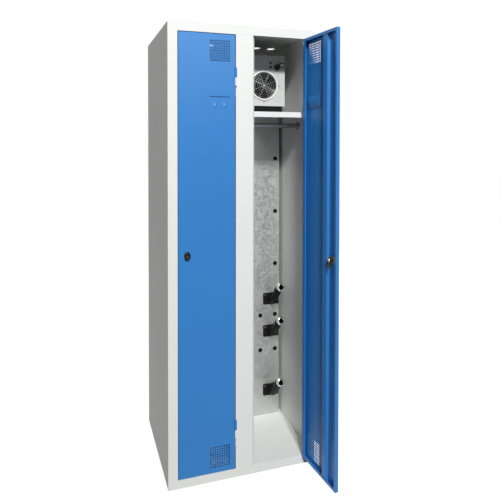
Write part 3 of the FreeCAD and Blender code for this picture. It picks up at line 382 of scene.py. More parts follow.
@dataclass(frozen=True)
class PowderCoat(Finish):
    """Polyester powder coat, sprayed and baked on sheet steel: a satin skin with faint orange peel."""

    roughness: float = 0.50
    gloss: float = 0.15
    peel: float = 3 * MM
    cloud: float = 300 * MM

    def paint(self, tree: Tree, place: Socket) -> None:
        """Slow clouds of shade, and peel of 1 to 2 mm on the real sheet, drawn at 3 mm so that it shows."""
        clouds = add_node(tree, "ShaderNodeTexNoise", {
            "Vector": place, "Scale": 1 / self.cloud, "Detail": 3.0,
        })
        peel = add_node(tree, "ShaderNodeTexNoise", {
            "Vector": place, "Scale": 1 / self.peel, "Detail": 2.0,
        }).outputs["Fac"]
        limits = (self.roughness - 0.04, self.roughness + 0.04)
        fixed = {"Specular IOR Level": self.gloss}
        self.coat(tree, clouds.outputs["Fac"], peel, limits, peel, 0.06, 0.3 * MM, fixed)


@dataclass(frozen=True)
class GalvanisedSheet(Finish):
    """Hot-dip galvanised steel: grey zinc with spangle crystals and streaks from rolling."""

    roughness: float = 0.42
    spangle: float = 11 * MM
    streak: float = 40 * MM

    def paint(self, tree: Tree, place: Socket) -> None:
        """Crystals of the real size, each with its own tone and gloss, under upright streaks."""
        wobble = add_node(tree, "ShaderNodeTexNoise", {
            "Vector": place, "Scale": 1 / self.spangle, "Detail": 1.0,
        })
        bent = add_node(tree, "ShaderNodeVectorMath", {
            0: wobble.outputs["Color"], 1: (0.4 * self.spangle,) * 3, 2: place,
        }, operation="MULTIPLY_ADD")
        crystals = add_node(tree, "ShaderNodeTexVoronoi", {
            "Vector": bent.outputs["Vector"], "Scale": 1 / self.spangle,
        })
        tone = add_node(tree, "ShaderNodeSeparateColor", {"Color": crystals.outputs["Color"]})
        upright = add_node(tree, "ShaderNodeMapping", {"Vector": place, "Scale": (1.0, 1.0, 0.12)})
        streaks = add_node(tree, "ShaderNodeTexNoise", {
            "Vector": upright.outputs["Vector"], "Scale": 1 / self.streak, "Detail": 4.0,
        })
        shade = add_node(tree, "ShaderNodeMath", {
            0: tone.outputs["Red"], 1: streaks.outputs["Fac"],
        }, operation="MULTIPLY")
        limits = (self.roughness - 0.1, self.roughness + 0.12)
        self.coat(
            tree, shade.outputs["Value"], tone.outputs["Green"], limits,
            crystals.outputs["Distance"], 0.05, 0.1 * MM, {"Metallic": 0.75},
        )


@dataclass(frozen=True)
class BareMetal(Finish):
    """Drawn, plated or polished metal: wire, pins, tube, collars and lock parts."""

    grain: float = 1.5 * MM
    stretch: float = 0.1
    spot: float = 14 * MM

    def paint(self, tree: Tree, place: Socket) -> None:
        """Dull spots, and drawing marks along Z at a real 0.2 mm, drawn wider so that they show."""
        along = add_node(tree, "ShaderNodeMapping", {"Vector": place, "Scale": (1.0, 1.0, self.stretch)})
        marks = add_node(tree, "ShaderNodeTexNoise", {
            "Vector": along.outputs["Vector"], "Scale": 1 / self.grain, "Detail": 2.0,
        }).outputs["Fac"]
        spots = add_node(tree, "ShaderNodeTexNoise", {
            "Vector": place, "Scale": 1 / self.spot, "Detail": 3.0,
        })
        limits = (0.7 * self.roughness, 1.3 * self.roughness)
        self.coat(tree, spots.outputs["Fac"], marks, limits, marks, 0.03, 0.05 * MM, {"Metallic": 1.0})


@dataclass(frozen=True)
class MouldedPlastic(Finish):
    """Injection-moulded plastic or rubber with a fine eroded grain from its mould."""

    gloss: float = 0.5
    grain: float = 0.9 * MM
    depth: float = 0.08 * MM
    patch: float = 30 * MM

    def paint(self, tree: Tree, place: Socket) -> None:
        """Paler dust in patches, and grain of 0.1 mm on the real piece, drawn at 0.9 mm."""
        grain = add_node(tree, "ShaderNodeTexNoise", {
            "Vector": place, "Scale": 1 / self.grain, "Detail": 2.0,
        }).outputs["Fac"]
        dust = add_node(tree, "ShaderNodeTexNoise", {
            "Vector": place, "Scale": 1 / self.patch, "Detail": 4.0,
        })
        thin = add_node(tree, "ShaderNodeMapRange", {
            "Value": dust.outputs["Fac"], "To Min": 0.0, "To Max": 0.6,
        })
        limits = (self.roughness - 0.06, self.roughness + 0.06)
        fixed = {"Specular IOR Level": self.gloss}
        self.coat(tree, thin.outputs["Result"], grain, limits, grain, 0.12, self.depth, fixed)


FINISHES = {finish.name: finish for finish in (
    # Polyester powder coat on the carcass: satin, wide soft highlights.
    PowderCoat("grey_enamel", "#EDEEEB", "#E5E6E3"),
    # The same coat in blue on the doors, a little glossier.
    PowderCoat("blue_enamel", "#2A7EC6", "#2577BF", roughness=0.38, gloss=0.5),
    # Stoved enamel on the heater's thin housing, with small clouds.
    PowderCoat("heater_enamel", "#D3D4D4", "#B9BABA", roughness=0.46, cloud=60 * MM),
    # Hot-dip galvanised sheet of the air ducts: pale grey crystals.
    GalvanisedSheet("galvanised_sheet", "#CFD1CF", "#BABCBB"),
    # Zinc-plated steel of rails, pins, rivets and screws: grey and half dull.
    BareMetal("zinc_steel", "#A4A8AA", "#84888B", roughness=0.42),
    # Nickel-plated drawn wire of the fan guard: bright lines.
    BareMetal("bright_wire", "#D0D1D1", "#A9AAAA", roughness=0.28),
    # Polished chrome plate on collars and cam screws: a clear mirror.
    BareMetal("chrome", "#E6E6E6", "#CDCDCD", roughness=0.10),
    # Black chrome on the lock's cast zinc: a dark mirror.
    BareMetal("lock_chrome", "#2E2F32", "#1E1F21", roughness=0.22),
    # Turned brass of the lock's plug, sleeve and cam: warm and a little tarnished.
    BareMetal("lock_brass", "#A58C58", "#7B673C", roughness=0.28),
    # Moulded black polyamide of knob, fan, glands and boot arms: dull, with pale dust.
    MouldedPlastic("black_plastic", "#101011", "#1A1A1B", roughness=0.45, gloss=0.22),
    # Moulded white ABS of rocker, bead and vent rings: smooth and clean.
    MouldedPlastic("white_plastic", "#F2F2EF", "#E4E4E0", roughness=0.32),
    # Moulded black rubber of nozzles, and of the seals and bellows whose black is painted shade in gaps: no
    # gloss.
    MouldedPlastic("black_rubber", "#121212", "#1E1E1E", roughness=0.68, gloss=0.25),
)}


# The bench: pieces on their bodies


@dataclass
class Box:
    """The lowest and highest corner of a solid."""

    low: Array
    high: Array

    @property
    def middle(self) -> Array:
        """The point halfway between the corners."""
        return (self.low + self.high) / 2

    @property
    def size(self) -> Array:
        """The box's width, depth and height."""
        return self.high - self.low

    def at(self, y: float) -> Triple:
        """The middle in width and height, at a place in depth."""
        return self.middle[0], y, self.middle[2]

    def over(self, z: float) -> Triple:
        """The middle in width and depth, at a height."""
        return self.middle[0], self.middle[1], z


@dataclass
class Bench:
    """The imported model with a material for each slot, and the ways to put a piece on a body."""

    frame: dict[str, Any]
    slots: dict[str, str] = field(init=False)
    materials: dict[str, bpy.types.Material] = field(init=False)

    def __post_init__(self) -> None:
        """Makes the finishes and notes the slot of each node."""
        self.slots = {part["node"]: part["material_slot"] for part in self.frame["record"]["subparts"]}
        self.materials = {slot: finish.make() for slot, finish in FINISHES.items()}

    def box(self, node: str) -> Box:
        """The box of a whole node at rest."""
        low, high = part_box(node)
        return Box(np.array(low), np.array(high))

    def solids(self, node: str) -> list[Box]:
        """The box of each separate solid in a node, from the lowest up and from left to right."""
        shell = self.merged_copy(node)
        shell.verts.ensure_lookup_table()
        unseen = set(shell.verts)
        boxes = []
        while unseen:
            island = {unseen.pop()}
            edge_of_island = set(island)
            while edge_of_island:
                reached = {edge.other_vert(vert) for vert in edge_of_island for edge in vert.link_edges}
                edge_of_island = reached & unseen
                unseen -= edge_of_island
                island |= edge_of_island
            places = np.array([vert.co for vert in island])
            boxes.append(Box(places.min(axis=0), places.max(axis=0)))
        shell.free()
        return sorted(boxes, key=lambda box: (round(box.middle[2], 3), round(box.middle[0], 3)))

    def merged_copy(self, node: str) -> bmesh.types.BMesh:
        """A copy of a node's skin with the seams between its faces closed."""
        shell = bmesh.new()
        shell.from_mesh(self.frame["nodes"][node].data)
        bmesh.ops.remove_doubles(shell, verts=shell.verts, dist=SEAM)
        return shell

    def dress(self, node: str) -> None:
        """Gives a carried-over node the finish of its slot, with smooth shading on its round faces."""
        item = self.frame["nodes"][node]
        item.data.materials.clear()
        item.data.materials.append(self.materials[self.slots[node]])
        item.data.shade_smooth()
        weld = item.modifiers.new("seams", "WELD")
        weld.merge_threshold = SEAM
        split = item.modifiers.new("edges", "EDGE_SPLIT")
        split.split_angle = math.radians(32)

    def put(
        self, name: str, mesh: bpy.types.Mesh, like: str, slot: str | None, replaces: Sequence[str]
    ) -> bpy.types.Object:
        """Puts a finished mesh on the body of a node.

        Args:
            name: Name of the piece.
            mesh: Its mesh, in the model's frame.
            like: Node whose body it rides on, and whose slot it has unless another is given.
            slot: Material slot, where it differs.
            replaces: Nodes that it stands for.

        Returns:
            The piece's object.
        """
        item = bpy.data.objects.new(name, mesh)
        bpy.context.scene.collection.objects.link(item)
        chosen = slot or self.slots[like]
        mesh.materials.clear()
        mesh.materials.append(self.materials[chosen])
        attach(item, self.frame["nodes"][like]["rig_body"])
        if replaces:
            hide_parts(*replaces)
        return item

    def add(
        self, name: str, surface: Surface, like: str, slot: str | None = None,
        replaces: Sequence[str] = (), sharp: float = 40.0,
    ) -> None:
        """Makes a piece from a surface; seams and poles are closed and faces turned outwards.

        Args:
            name: Name of the piece.
            surface: Its points and faces.
            like: Node whose body and slot it takes.
            slot: Another material slot.
            replaces: Nodes that it stands for.
            sharp: Angle in degrees over which an edge stays sharp.
        """
        mesh = bpy.data.meshes.new(name)
        mesh.from_pydata(surface.points.tolist(), [], surface.faces)
        shell = bmesh.new()
        shell.from_mesh(mesh)
        bmesh.ops.remove_doubles(shell, verts=shell.verts, dist=SEAM)
        bmesh.ops.recalc_face_normals(shell, faces=shell.faces)
        shell.to_mesh(mesh)
        shell.free()
        mesh.shade_smooth()
        mesh.set_sharp_from_angle(angle=math.radians(sharp))
        self.put(name, mesh, like, slot, replaces)

    def fold(
        self, name: str, node: str, radius: float,
        reshape: Callable[[bmesh.types.BMesh], None] | None = None,
    ) -> None:
        """Replaces a folded-sheet node by a copy whose folds are rounded.

        Args:
            name: Name of the piece.
            node: The sheet-metal node.
            radius: Outside radius of the folds. Edges of the sheet itself, which have no wide face on
                both sides, stay as they are.
            reshape: A change to the copy before its folds are rounded.
        """
        shell = self.merged_copy(node)
        bmesh.ops.dissolve_limit(
            shell, angle_limit=math.radians(0.5), use_dissolve_boundaries=False,
            verts=shell.verts, edges=shell.edges, delimit={"NORMAL"},
        )
        if reshape:
            reshape(shell)
        folds = [edge for edge in shell.edges if is_outer_fold(edge, 3 * radius)]
        bmesh.ops.bevel(
            shell, geom=folds, offset=radius, offset_type="OFFSET", segments=3, profile=0.5,
            affect="EDGES", clamp_overlap=True,
        )
        mesh = bpy.data.meshes.new(name)
        shell.to_mesh(mesh)
        shell.free()
        mesh.shade_smooth()
        mesh.set_sharp_from_angle(angle=math.radians(40))
        item = self.put(name, mesh, node, None, [node])
        weighted = item.modifiers.new("flat faces", "WEIGHTED_NORMAL")
        weighted.keep_sharp = True


def is_outer_fold(edge: bmesh.types.BMEdge, reach: float) -> bool:
    """Whether an edge is the outside of a fold: convex, square, long, and with wide faces on both sides."""
    if len(edge.link_faces) != 2 or not edge.is_convex or edge.calc_length() < 2 * reach:
        return False
    if edge.calc_face_angle() < math.radians(60):
        return False
    along = (edge.verts[1].co - edge.verts[0].co).normalized()
    for face in edge.link_faces:
        inward = face.normal.cross(along)
        widths = [abs((vert.co - edge.verts[0].co).dot(inward)) for vert in face.verts]
        if max(widths) < reach:
            return False
    return True


@dataclass
class Equipment:
    """A sub-assembly that each compartment has once; its pieces and nodes end in the compartment's name."""

    bench: Bench
    side: Side

    def own(self, name: str) -> str:
        """A name with the compartment's name at its end."""
        return f"{name}_{self.side.value}"

    def box(self, node: str) -> Box:
        """The box of one of its nodes."""
        return self.bench.box(self.own(node))

    def solids(self, node: str) -> list[Box]:
        """The boxes of the solids in one of its nodes."""
        return self.bench.solids(self.own(node))

    def dress(self, *nodes: str) -> None:
        """Dresses some of its nodes."""
        for node in nodes:
            self.bench.dress(self.own(node))

    def fold(
        self, name: str, node: str, radius: float,
        reshape: Callable[[bmesh.types.BMesh], None] | None = None,
    ) -> None:
        """Rounds the folds of one of its nodes."""
        self.bench.fold(self.own(name), self.own(node), radius, reshape)

    def add(
        self, name: str, surface: Surface, node: str, slot: str | None = None, instead: bool = False,
        sharp: float = 40.0,
    ) -> None:
        """Adds a piece like one of its nodes, and in its place where instead is set."""
        like = self.own(node)
        self.bench.add(self.own(name), surface, like, slot, [like] if instead else [], sharp)


# Sheet-steel shell and doors


@dataclass
class Carcass:
    """The folded shell with its front frame, hinges on the frame, roof vents and cable glands."""

    bench: Bench
    fold_radius: float = 1.6 * MM
    vent_lip: float = 1.0 * MM
    vent_face: float = 9 * MM
    vent_spigot: float = 6.2 * MM
    pin_head: float = 1.1 * MM
    pin_head_thick: float = 1.5 * MM
    # Sizes of the black strips whose black paints the shade in the door gaps.
    gap_shade_seal_thick: float = 1.2 * MM
    gap_shade_seal_from: float = 0.8 * MM
    shade_seal_deep: float = 6 * MM
    gap_shade_seal_bevel: float = 0.4 * MM
    knuckle_clear: float = 6 * MM
    centre_half: float = 37 * MM

    def build(self) -> None:
        """Rounds the folds of the sheets that bend, and finishes what is flat."""
        for node in (
            "side_panel_left", "side_panel_right", "stile_left", "stile_right", "centre_stile",
            "top_rail", "bottom_sill", "shelf_left", "shelf_right",
        ):
            self.bench.fold(f"folded_{node}", node, self.fold_radius)
        for node in (
            "partition", "back_panel", "floor_panel", "roof_panel", "frame_knuckles", "cable_glands",
            "clothes_rail_left", "clothes_rail_right",
        ):
            self.bench.dress(node)
        self.add_roof_vents()
        self.add_hinge_pins()
        self.add_gap_shade_seals()

    def add_gap_shade_seals(self) -> None:
        """Black rubber strips in the rebate beside and above each door, left out where the hinges pass. Their
        black is painted shade, which darkens the gaps round the doors.
        """
        rail = self.bench.box("top_rail")
        top, bottom = rail.low[2], self.bench.box("bottom_sill").high[2]
        front = rail.low[1] + self.gap_shade_seal_from
        ends = [bottom]
        for box in self.bench.solids("frame_knuckles"):
            if box.middle[0] < 0:
                clear = self.knuckle_clear + box.size[2]
                ends += [box.low[2] - clear, box.high[2] + clear]
        ends.append(top)
        strips = []
        for lock_side, hinge_side in ((rail.low[0], -self.centre_half), (self.centre_half, rail.high[0])):
            strips.append(prism(self.gap_shade_seal_section(lock_side, front, 1), bottom, top, Axis.Z))
            for low, high in zip(ends[::2], ends[1::2]):
                strips.append(prism(self.gap_shade_seal_section(hinge_side, front, -1), low, high, Axis.Z))
            across = [(y, z) for z, y in self.gap_shade_seal_section(top, front, -1)]
            strips.append(prism(across, lock_side, hinge_side))
        # The strips' black rubber is painted shade in the gaps round the doors.
        self.bench.add("gap_shade_seals", joined(strips), "top_rail", slot="black_rubber")

    def gap_shade_seal_section(self, wall: float, front: float, sign: int) -> list[Pair]:
        """Section of a strip that stands off a wall in the direction of sign, with bevelled edges."""
        off = wall + sign * self.gap_shade_seal_thick
        near = off - sign * self.gap_shade_seal_bevel
        back = front + self.shade_seal_deep
        return [
            (wall, front), (near, front), (off, front + self.gap_shade_seal_bevel),
            (off, back - self.gap_shade_seal_bevel), (near, back), (wall, back),
        ]

    def add_roof_vents(self) -> None:
        """Moulded rings under the ceiling with a rolled lip."""
        rings = []
        for box in self.bench.solids("roof_vents"):
            outer = box.size[0] / 2
            bore = outer - self.vent_face
            spigot = outer - self.vent_spigot
            tall = box.size[2]
            lip = self.vent_lip
            profile = rounded_profile([
                (bore, tall, 0), (bore, 0, lip), (outer, 0, lip), (outer, tall - 1 * MM, lip / 2),
                (spigot, tall - 1 * MM, 0), (spigot, tall, 0), (bore, tall, 0),
            ])
            rings.append(lathe(profile[:-1], Axis.Z, sides=64, closed=True).moved(box.over(box.low[2])))
        self.bench.add("roof_vent_rings", joined(rings), "roof_vents", replaces=["roof_vents"])

    def add_hinge_pins(self) -> None:
        """Pins with a domed head and a chamfered tail."""
        pins = []
        for box in self.bench.solids("hinge_pins"):
            head = box.size[0] / 2
            shank = head - self.pin_head
            tall = box.size[2]
            neck = tall - self.pin_head_thick
            profile = rounded_profile([
                (0, 0, 0), (shank - 0.5 * MM, 0, 0), (shank, 0.5 * MM, 0), (shank, neck, 0), (head, neck, 0),
                (head, neck + 0.6 * MM, 0.4 * MM), (0.4 * head, tall, 1 * MM), (0, tall, 0),
            ])
            pins.append(lathe(profile, Axis.Z, sides=32).moved(box.over(box.low[2])))
        self.bench.add("domed_hinge_pins", joined(pins), "hinge_pins", replaces=["hinge_pins"])


@dataclass
class Door(Equipment):
    """One folded door with its stiffener, knuckles, label holder and cam lock.

    Its own pieces are worked out as on a shut door, from the hinge axis: X along the door, Y through it
    with the skin's outer face at skin_front, and Z up. They are then turned with the door.
    """

    fold_radius: float = 1.8 * MM
    vent_wall_area: float = 5e-6
    vent_growth: float = 0.25 * MM
    hinge_y: float = -254.5 * MM
    skin_front: float = 4.5 * MM
    skin: float = 1 * MM
    label_left: float = -106 * MM
    label_wide: float = 82 * MM
    label_height: float = 1517 * MM
    label_foot: float = 14 * MM
    label_drop: float = 38 * MM
    tongue_tall: float = 20 * MM
    tongue_proud: float = 3.2 * MM
    pocket_deep: float = 2.2 * MM
    pocket_thick: float = 0.8 * MM
    pocket_rim: float = 4 * MM
    lock_height: float = 900 * MM
    lock_inset: float = -196 * MM
    dome_bore: float = 6.4 * MM
    dome_wide: float = 13 * MM
    dome_tall: float = 19 * MM
    dome_proud: float = 5 * MM
    barrel: float = 9.4 * MM
    nut_reach: float = 14.2 * MM
    nut_thick: float = 5 * MM
    screw: float = 7.2 * MM

    def build(self) -> None:
        """Finishes the door of one compartment."""
        self.fold("folded_door_panel", "door_panel", self.fold_radius, self.widen_vents)
        self.fold("folded_stiffener", "door_stiffener", self.fold_radius)
        self.dress("door_knuckles", "lock_body", "lock_cam")
        self.add_label_holder()
        self.add_lock_dome()
        self.add_lock_sleeve()
        self.add_cam_screw()

    def hung(self, surface: Surface) -> Surface:
        """A surface from the shut door's own place, turned and moved with the door at rest."""
        joints = {joint["name"]: joint for joint in self.bench.frame["joints"]}
        hinge = joints[f"{self.side.value}_door_hinge"]["pos_m"]
        through = joints[f"{self.side.value}_lock_turn"]["axis"]
        angle = math.atan2(-through[0], through[1])
        return surface.turned(angle, Axis.Z).moved((hinge[0], hinge[1], 0))

    def on_lock(self, profile: Sequence[Pair], sides: int, closed: bool, y: float = 0.0) -> Surface:
        """A profile turned round the lock's axis, at a depth from the hinge axis, and hung with the door."""
        turned = lathe(profile, Axis.Y, sides=sides, closed=closed)
        return self.hung(turned.moved((self.lock_inset, y, self.lock_height)))

    def widen_vents(self, shell: bmesh.types.BMesh) -> None:
        """Opens the square holes to the punch's full size, each wall away from its hole's middle."""
        moves: dict[bmesh.types.BMVert, Array] = {}
        for face in shell.faces:
            if len(face.verts) == 4 and abs(face.calc_area() / self.vent_wall_area - 1) < 0.02:
                for vert in face.verts:
                    moves[vert] = moves.get(vert, np.zeros(3)) - self.vent_growth * np.array(face.normal)
        for vert, move in moves.items():
            vert.co = np.array(vert.co) + move

    def add_label_holder(self) -> None:
        """Two pressed tongues under the label slot, and the pocket that closes the slot behind the skin."""
        foot, left = self.label_foot, self.label_left
        bottom = self.label_height - self.label_drop
        tongues = [
            self.tongue_skin().moved((start + foot / 2, self.skin_front, bottom))
            for start in (left + foot, left + self.label_wide - 2 * foot)
        ]
        self.add("label_tongues", self.hung(joined(tongues)), "door_panel")
        skin = self.skin_front + self.skin
        low, high = bottom - 6 * MM, self.label_height + 12 * MM
        thick = self.pocket_thick
        wall = skin + self.pocket_deep
        section = [
            (skin, low), (skin, low + 5 * MM), (wall, low + 8 * MM), (wall, high - 8 * MM),
            (skin, high - 5 * MM), (skin, high), (skin + thick, high), (skin + thick, high - 4.6 * MM),
            (wall + thick, high - 7.6 * MM), (wall + thick, low + 7.6 * MM),
            (skin + thick, low + 4.6 * MM), (skin + thick, low),
        ]
        pocket = prism(section, left - self.pocket_rim, left + self.label_wide + self.pocket_rim)
        self.add("label_pocket", self.hung(pocket), "door_panel")

    def tongue_skin(self) -> Surface:
        """One pressed tongue that leans out towards its rounded foot.

        Returns:
            Point (i, j) is (half * u_i, -proud * (1 - u_i^4) * lean(v_j), tall * v_j) with v from 0 at the
            foot to 1, where lean is sin(5 pi v) below a tenth and falls as (1 - v)^1.4 above it. A flat
            back inside the skin closes it.
        """
        across = np.linspace(-1, 1, 17)[:, None]
        up = np.concatenate([np.linspace(0, 0.1, 6), np.linspace(0.14, 1, 16)])
        lean = np.where(up < 0.1, np.sin(5 * math.pi * up), ((1 - up) / 0.9) ** 1.4)
        front = -self.tongue_proud * (1 - across ** 4) * lean
        wide = np.broadcast_to(self.label_foot / 2 * across, front.shape)
        tall = np.broadcast_to(self.tongue_tall * up, front.shape)
        skin = np.stack([wide, front, tall], axis=-1)
        back = skin[:, ::-1].copy()
        back[..., 1] = 0.5 * self.skin
        closed = np.concatenate([skin, back], axis=1)
        count = closed.shape[1]
        last = closed.size // 3
        ends = [tuple(range(count)), tuple(range(last - count, last))]
        surface = grid(closed, close_columns=True)
        return Surface(surface.points, surface.faces + ends)

    def add_lock_dome(self) -> None:
        """An upright oval dome round the lock's plug.

        Point (i, j) lies at angle t_i and share s_j between the round bore and the oval foot, whose half
        width and half height are dome_wide and dome_tall; its height follows a rounded profile over s.
        """
        profile = np.array([
            (0, 0), (0, -2.2), (0.03, -3.6), (0.1, -4.4), (0.22, -4.9), (0.36, -5), (0.52, -4.7),
            (0.68, -4.1), (0.82, -3.1), (0.92, -2.0), (0.98, -0.9), (1, 0),
        ])
        share, rise = profile[:, 0], profile[:, 1] / 5 * self.dome_proud
        turn = np.linspace(0, 2 * math.pi, 64, endpoint=False)[:, None]
        wide = self.dome_bore + share * (self.dome_wide - self.dome_bore)
        tall = self.dome_bore + share * (self.dome_tall - self.dome_bore)
        points = np.stack([
            self.lock_inset + wide * np.cos(turn),
            self.skin_front + np.broadcast_to(rise, (64, len(rise))),
            self.lock_height + tall * np.sin(turn),
        ], axis=-1)
        dome = grid(points, close_rows=True, close_columns=True)
        self.add("lock_dome", self.hung(dome), "lock_body", sharp=60)

    def add_lock_sleeve(self) -> None:
        """A turned brass sleeve with a chamfered shoulder, over the lock's nut and barrel behind the skin."""
        back = self.bench.box("lock_body_left").high[1] - self.hinge_y - 0.2 * MM
        front = self.skin_front + self.skin
        shoulder = front + self.nut_thick + 0.6 * MM
        outer = self.barrel + 0.8 * MM
        ring = rounded_profile([
            (self.barrel, front, 0), (self.nut_reach, front, 0), (self.nut_reach, shoulder, 1.4 * MM),
            (outer, shoulder, 0.6 * MM), (outer, back, 0.5 * MM), (self.barrel, back, 0),
        ])
        self.add("lock_sleeve", self.on_lock(ring, 64, True), "lock_body", slot="lock_brass")

    def add_cam_screw(self) -> None:
        """A polished pan head over the bolt that holds the cam, and a dark keyhole cover on the plug."""
        shut = self.bench.box("lock_cam_left")
        reach = self.screw
        head = rounded_profile([
            (0, -4.5 * MM, 0), (reach, -4.5 * MM, 0), (reach, 0.4 * MM, 2.4 * MM), (0, 0.4 * MM, 0),
        ], steps=6)
        screw = self.on_lock(head, 40, False, shut.high[1] - self.hinge_y)
        self.add("cam_screw", screw, "lock_cam", slot="chrome")
        ring = rounded_profile([
            (2.6 * MM, 0.2 * MM, 0), (2.6 * MM, -0.6 * MM, 0.2 * MM), (5.8 * MM, -0.6 * MM, 0.5 * MM),
            (5.8 * MM, 0.2 * MM, 0),
        ])
        cover = self.on_lock(ring, 40, True, shut.low[1] - self.hinge_y)
        self.add("keyhole_cover", cover, "lock_cam", slot="lock_chrome")


# Air duct and boot arms


@dataclass
class AirDuct(Equipment):
    """The galvanised duct on the back wall with its rubber nozzles."""

    fold_radius: float = 1.8 * MM
    lip: float = 3 * MM
    bore: float = 4.5 * MM
    neck: float = 7.8 * MM

    def build(self) -> None:
        """Rounds the duct's folds and makes its nozzles."""
        self.fold("folded_air_duct", "air_duct", self.fold_radius)
        self.dress("air_outlet")
        nozzles = [self.nozzle(box) for box in self.solids("duct_nozzles")]
        self.add("rounded_nozzles", joined(nozzles), "duct_nozzles", instead=True)

    def nozzle(self, box: Box) -> Surface:
        """One nozzle: a round bead on the duct's face, a trumpet mouth and a neck through the sheet.

        Args:
            box: Box of the nozzle's solid; its largest radius is half the width.

        Returns:
            The turned skin, with the distance along Y measured from the duct's face to the inside.
        """
        radius = box.size[0] / 2
        tail = box.size[1] - self.lip
        profile = rounded_profile([
            (self.bore, tail, 0), (self.neck, tail, 0), (self.neck, 0, 0), (radius, 0, 0.5 * MM),
            (radius, -self.lip, 1.8 * MM), (0.72 * radius, -self.lip, 1.4 * MM),
            (self.bore, -self.lip / 3, 1.5 * MM), (self.bore, tail, 0),
        ])
        return lathe(profile[:-1], Axis.Y, sides=48, closed=True).moved(box.at(box.low[1] + self.lip))


@dataclass
class BootArms(Equipment):
    """The boot arms of one compartment: plate, bent tube, bright collar and rivet."""

    radius: float = 17 * MM
    wall: float = 3 * MM
    lead: float = 18 * MM
    bend: float = 30 * MM
    rise: float = math.radians(50)
    climb: float = 83 * MM
    mouth: float = math.radians(12)
    nose: float = 8 * MM
    sides: int = 48
    collar_radius: float = 19.5 * MM
    collar_bore: float = 10.5 * MM
    collar_grip: float = 10 * MM
    collar_nose: float = 7 * MM
    rivet: float = 4.2 * MM
    rivet_rise: float = 2.2 * MM
    rivet_inset: float = 10 * MM
    plate_thick: float = 4 * MM

    def build(self) -> None:
        """Makes the tubes, collars and rivets, and finishes the plates."""
        tubes, collars, rivets = [], [], []
        for plate in self.solids("boot_arm_bases"):
            start = plate.at(plate.high[1])
            tubes.append(self.tube_skin().moved(start))
            collars.append(self.collar_skin().moved(start))
            rivets.append(self.rivet_skin().moved((
                plate.low[0] + self.rivet_inset, plate.high[1] - self.plate_thick,
                plate.high[2] - self.rivet_inset,
            )))
        self.add("bent_tubes", joined(tubes), "boot_arm_tubes", instead=True)
        self.add("rounded_collars", joined(collars), "boot_arm_collars", instead=True)
        self.add("rivet_heads", joined(rivets), "boot_arm_bases", slot="zinc_steel")
        self.dress("boot_arm_bases")

    def path(self) -> Array:
        """Middle line of a tube from the duct's face: forwards, up, straight on, and forwards again.

        Returns:
            Points (0, y, z). Each step goes on by its length at the line's angle there, so y is minus the
            sum of length * cos(angle), and z the sum of length * sin(angle).
        """
        runs = (
            (self.lead, 0.0, 0.0, 1),
            (self.bend * self.rise, 0.0, self.rise, 12),
            (self.climb, self.rise, self.rise, 1),
            (self.bend * (self.rise - self.mouth), self.rise, self.mouth, 9),
            (self.nose, self.mouth, self.mouth, 1),
        )
        steps = np.concatenate([np.full(count, length / count) for length, _, _, count in runs])
        angle = np.concatenate([
            first + (last - first) * (np.arange(count) + 0.5) / count for _, first, last, count in runs
        ])
        y = np.concatenate([[0], -np.cumsum(steps * np.cos(angle))])
        z = np.concatenate([[0], np.cumsum(steps * np.sin(angle))])
        return np.column_stack([np.zeros_like(y), y, z])

    def tube_skin(self) -> Surface:
        """One tube: its outer wall runs forwards, its inner wall back inside it, and rims join the two."""
        line = self.path()
        outer, inner = (
            tube(line, radius, (1, 0, 0), self.sides).points.reshape(-1, self.sides, 3)
            for radius in (self.radius, self.radius - self.wall)
        )
        return grid(np.concatenate([outer, inner[::-1]]), close_rows=True, close_columns=True)

    def collar_skin(self) -> Surface:
        """One collar, its mouth turned up a little with the tube's end."""
        seat = self.radius + 0.1 * MM
        bore, outer, grip, nose = self.collar_bore, self.collar_radius, self.collar_grip, self.collar_nose
        profile = rounded_profile([
            (bore, 0, 0), (seat, 0, 0), (seat, grip, 0), (outer, grip, 1 * MM), (outer, -0.5 * nose, 3 * MM),
            (bore + 3 * MM, -nose, 2.5 * MM), (bore, -0.5 * nose, 1 * MM), (bore, 0, 0),
        ], steps=6)
        collar = lathe(profile[:-1], Axis.Y, sides=64, closed=True)
        return collar.turned(-self.mouth, Axis.X).moved(self.path()[-1])

    def rivet_skin(self) -> Surface:
        """One domed rivet head over the plate."""
        rise = self.rivet_rise
        share = np.linspace(0, math.pi / 2, 8)
        dome = [(self.rivet * math.cos(turn), -rise * math.sin(turn)) for turn in share]
        return lathe([(0, 0), (self.rivet, 0), *dome[1:-1], (0, -rise)], Axis.Y, sides=32)


# Fan heater


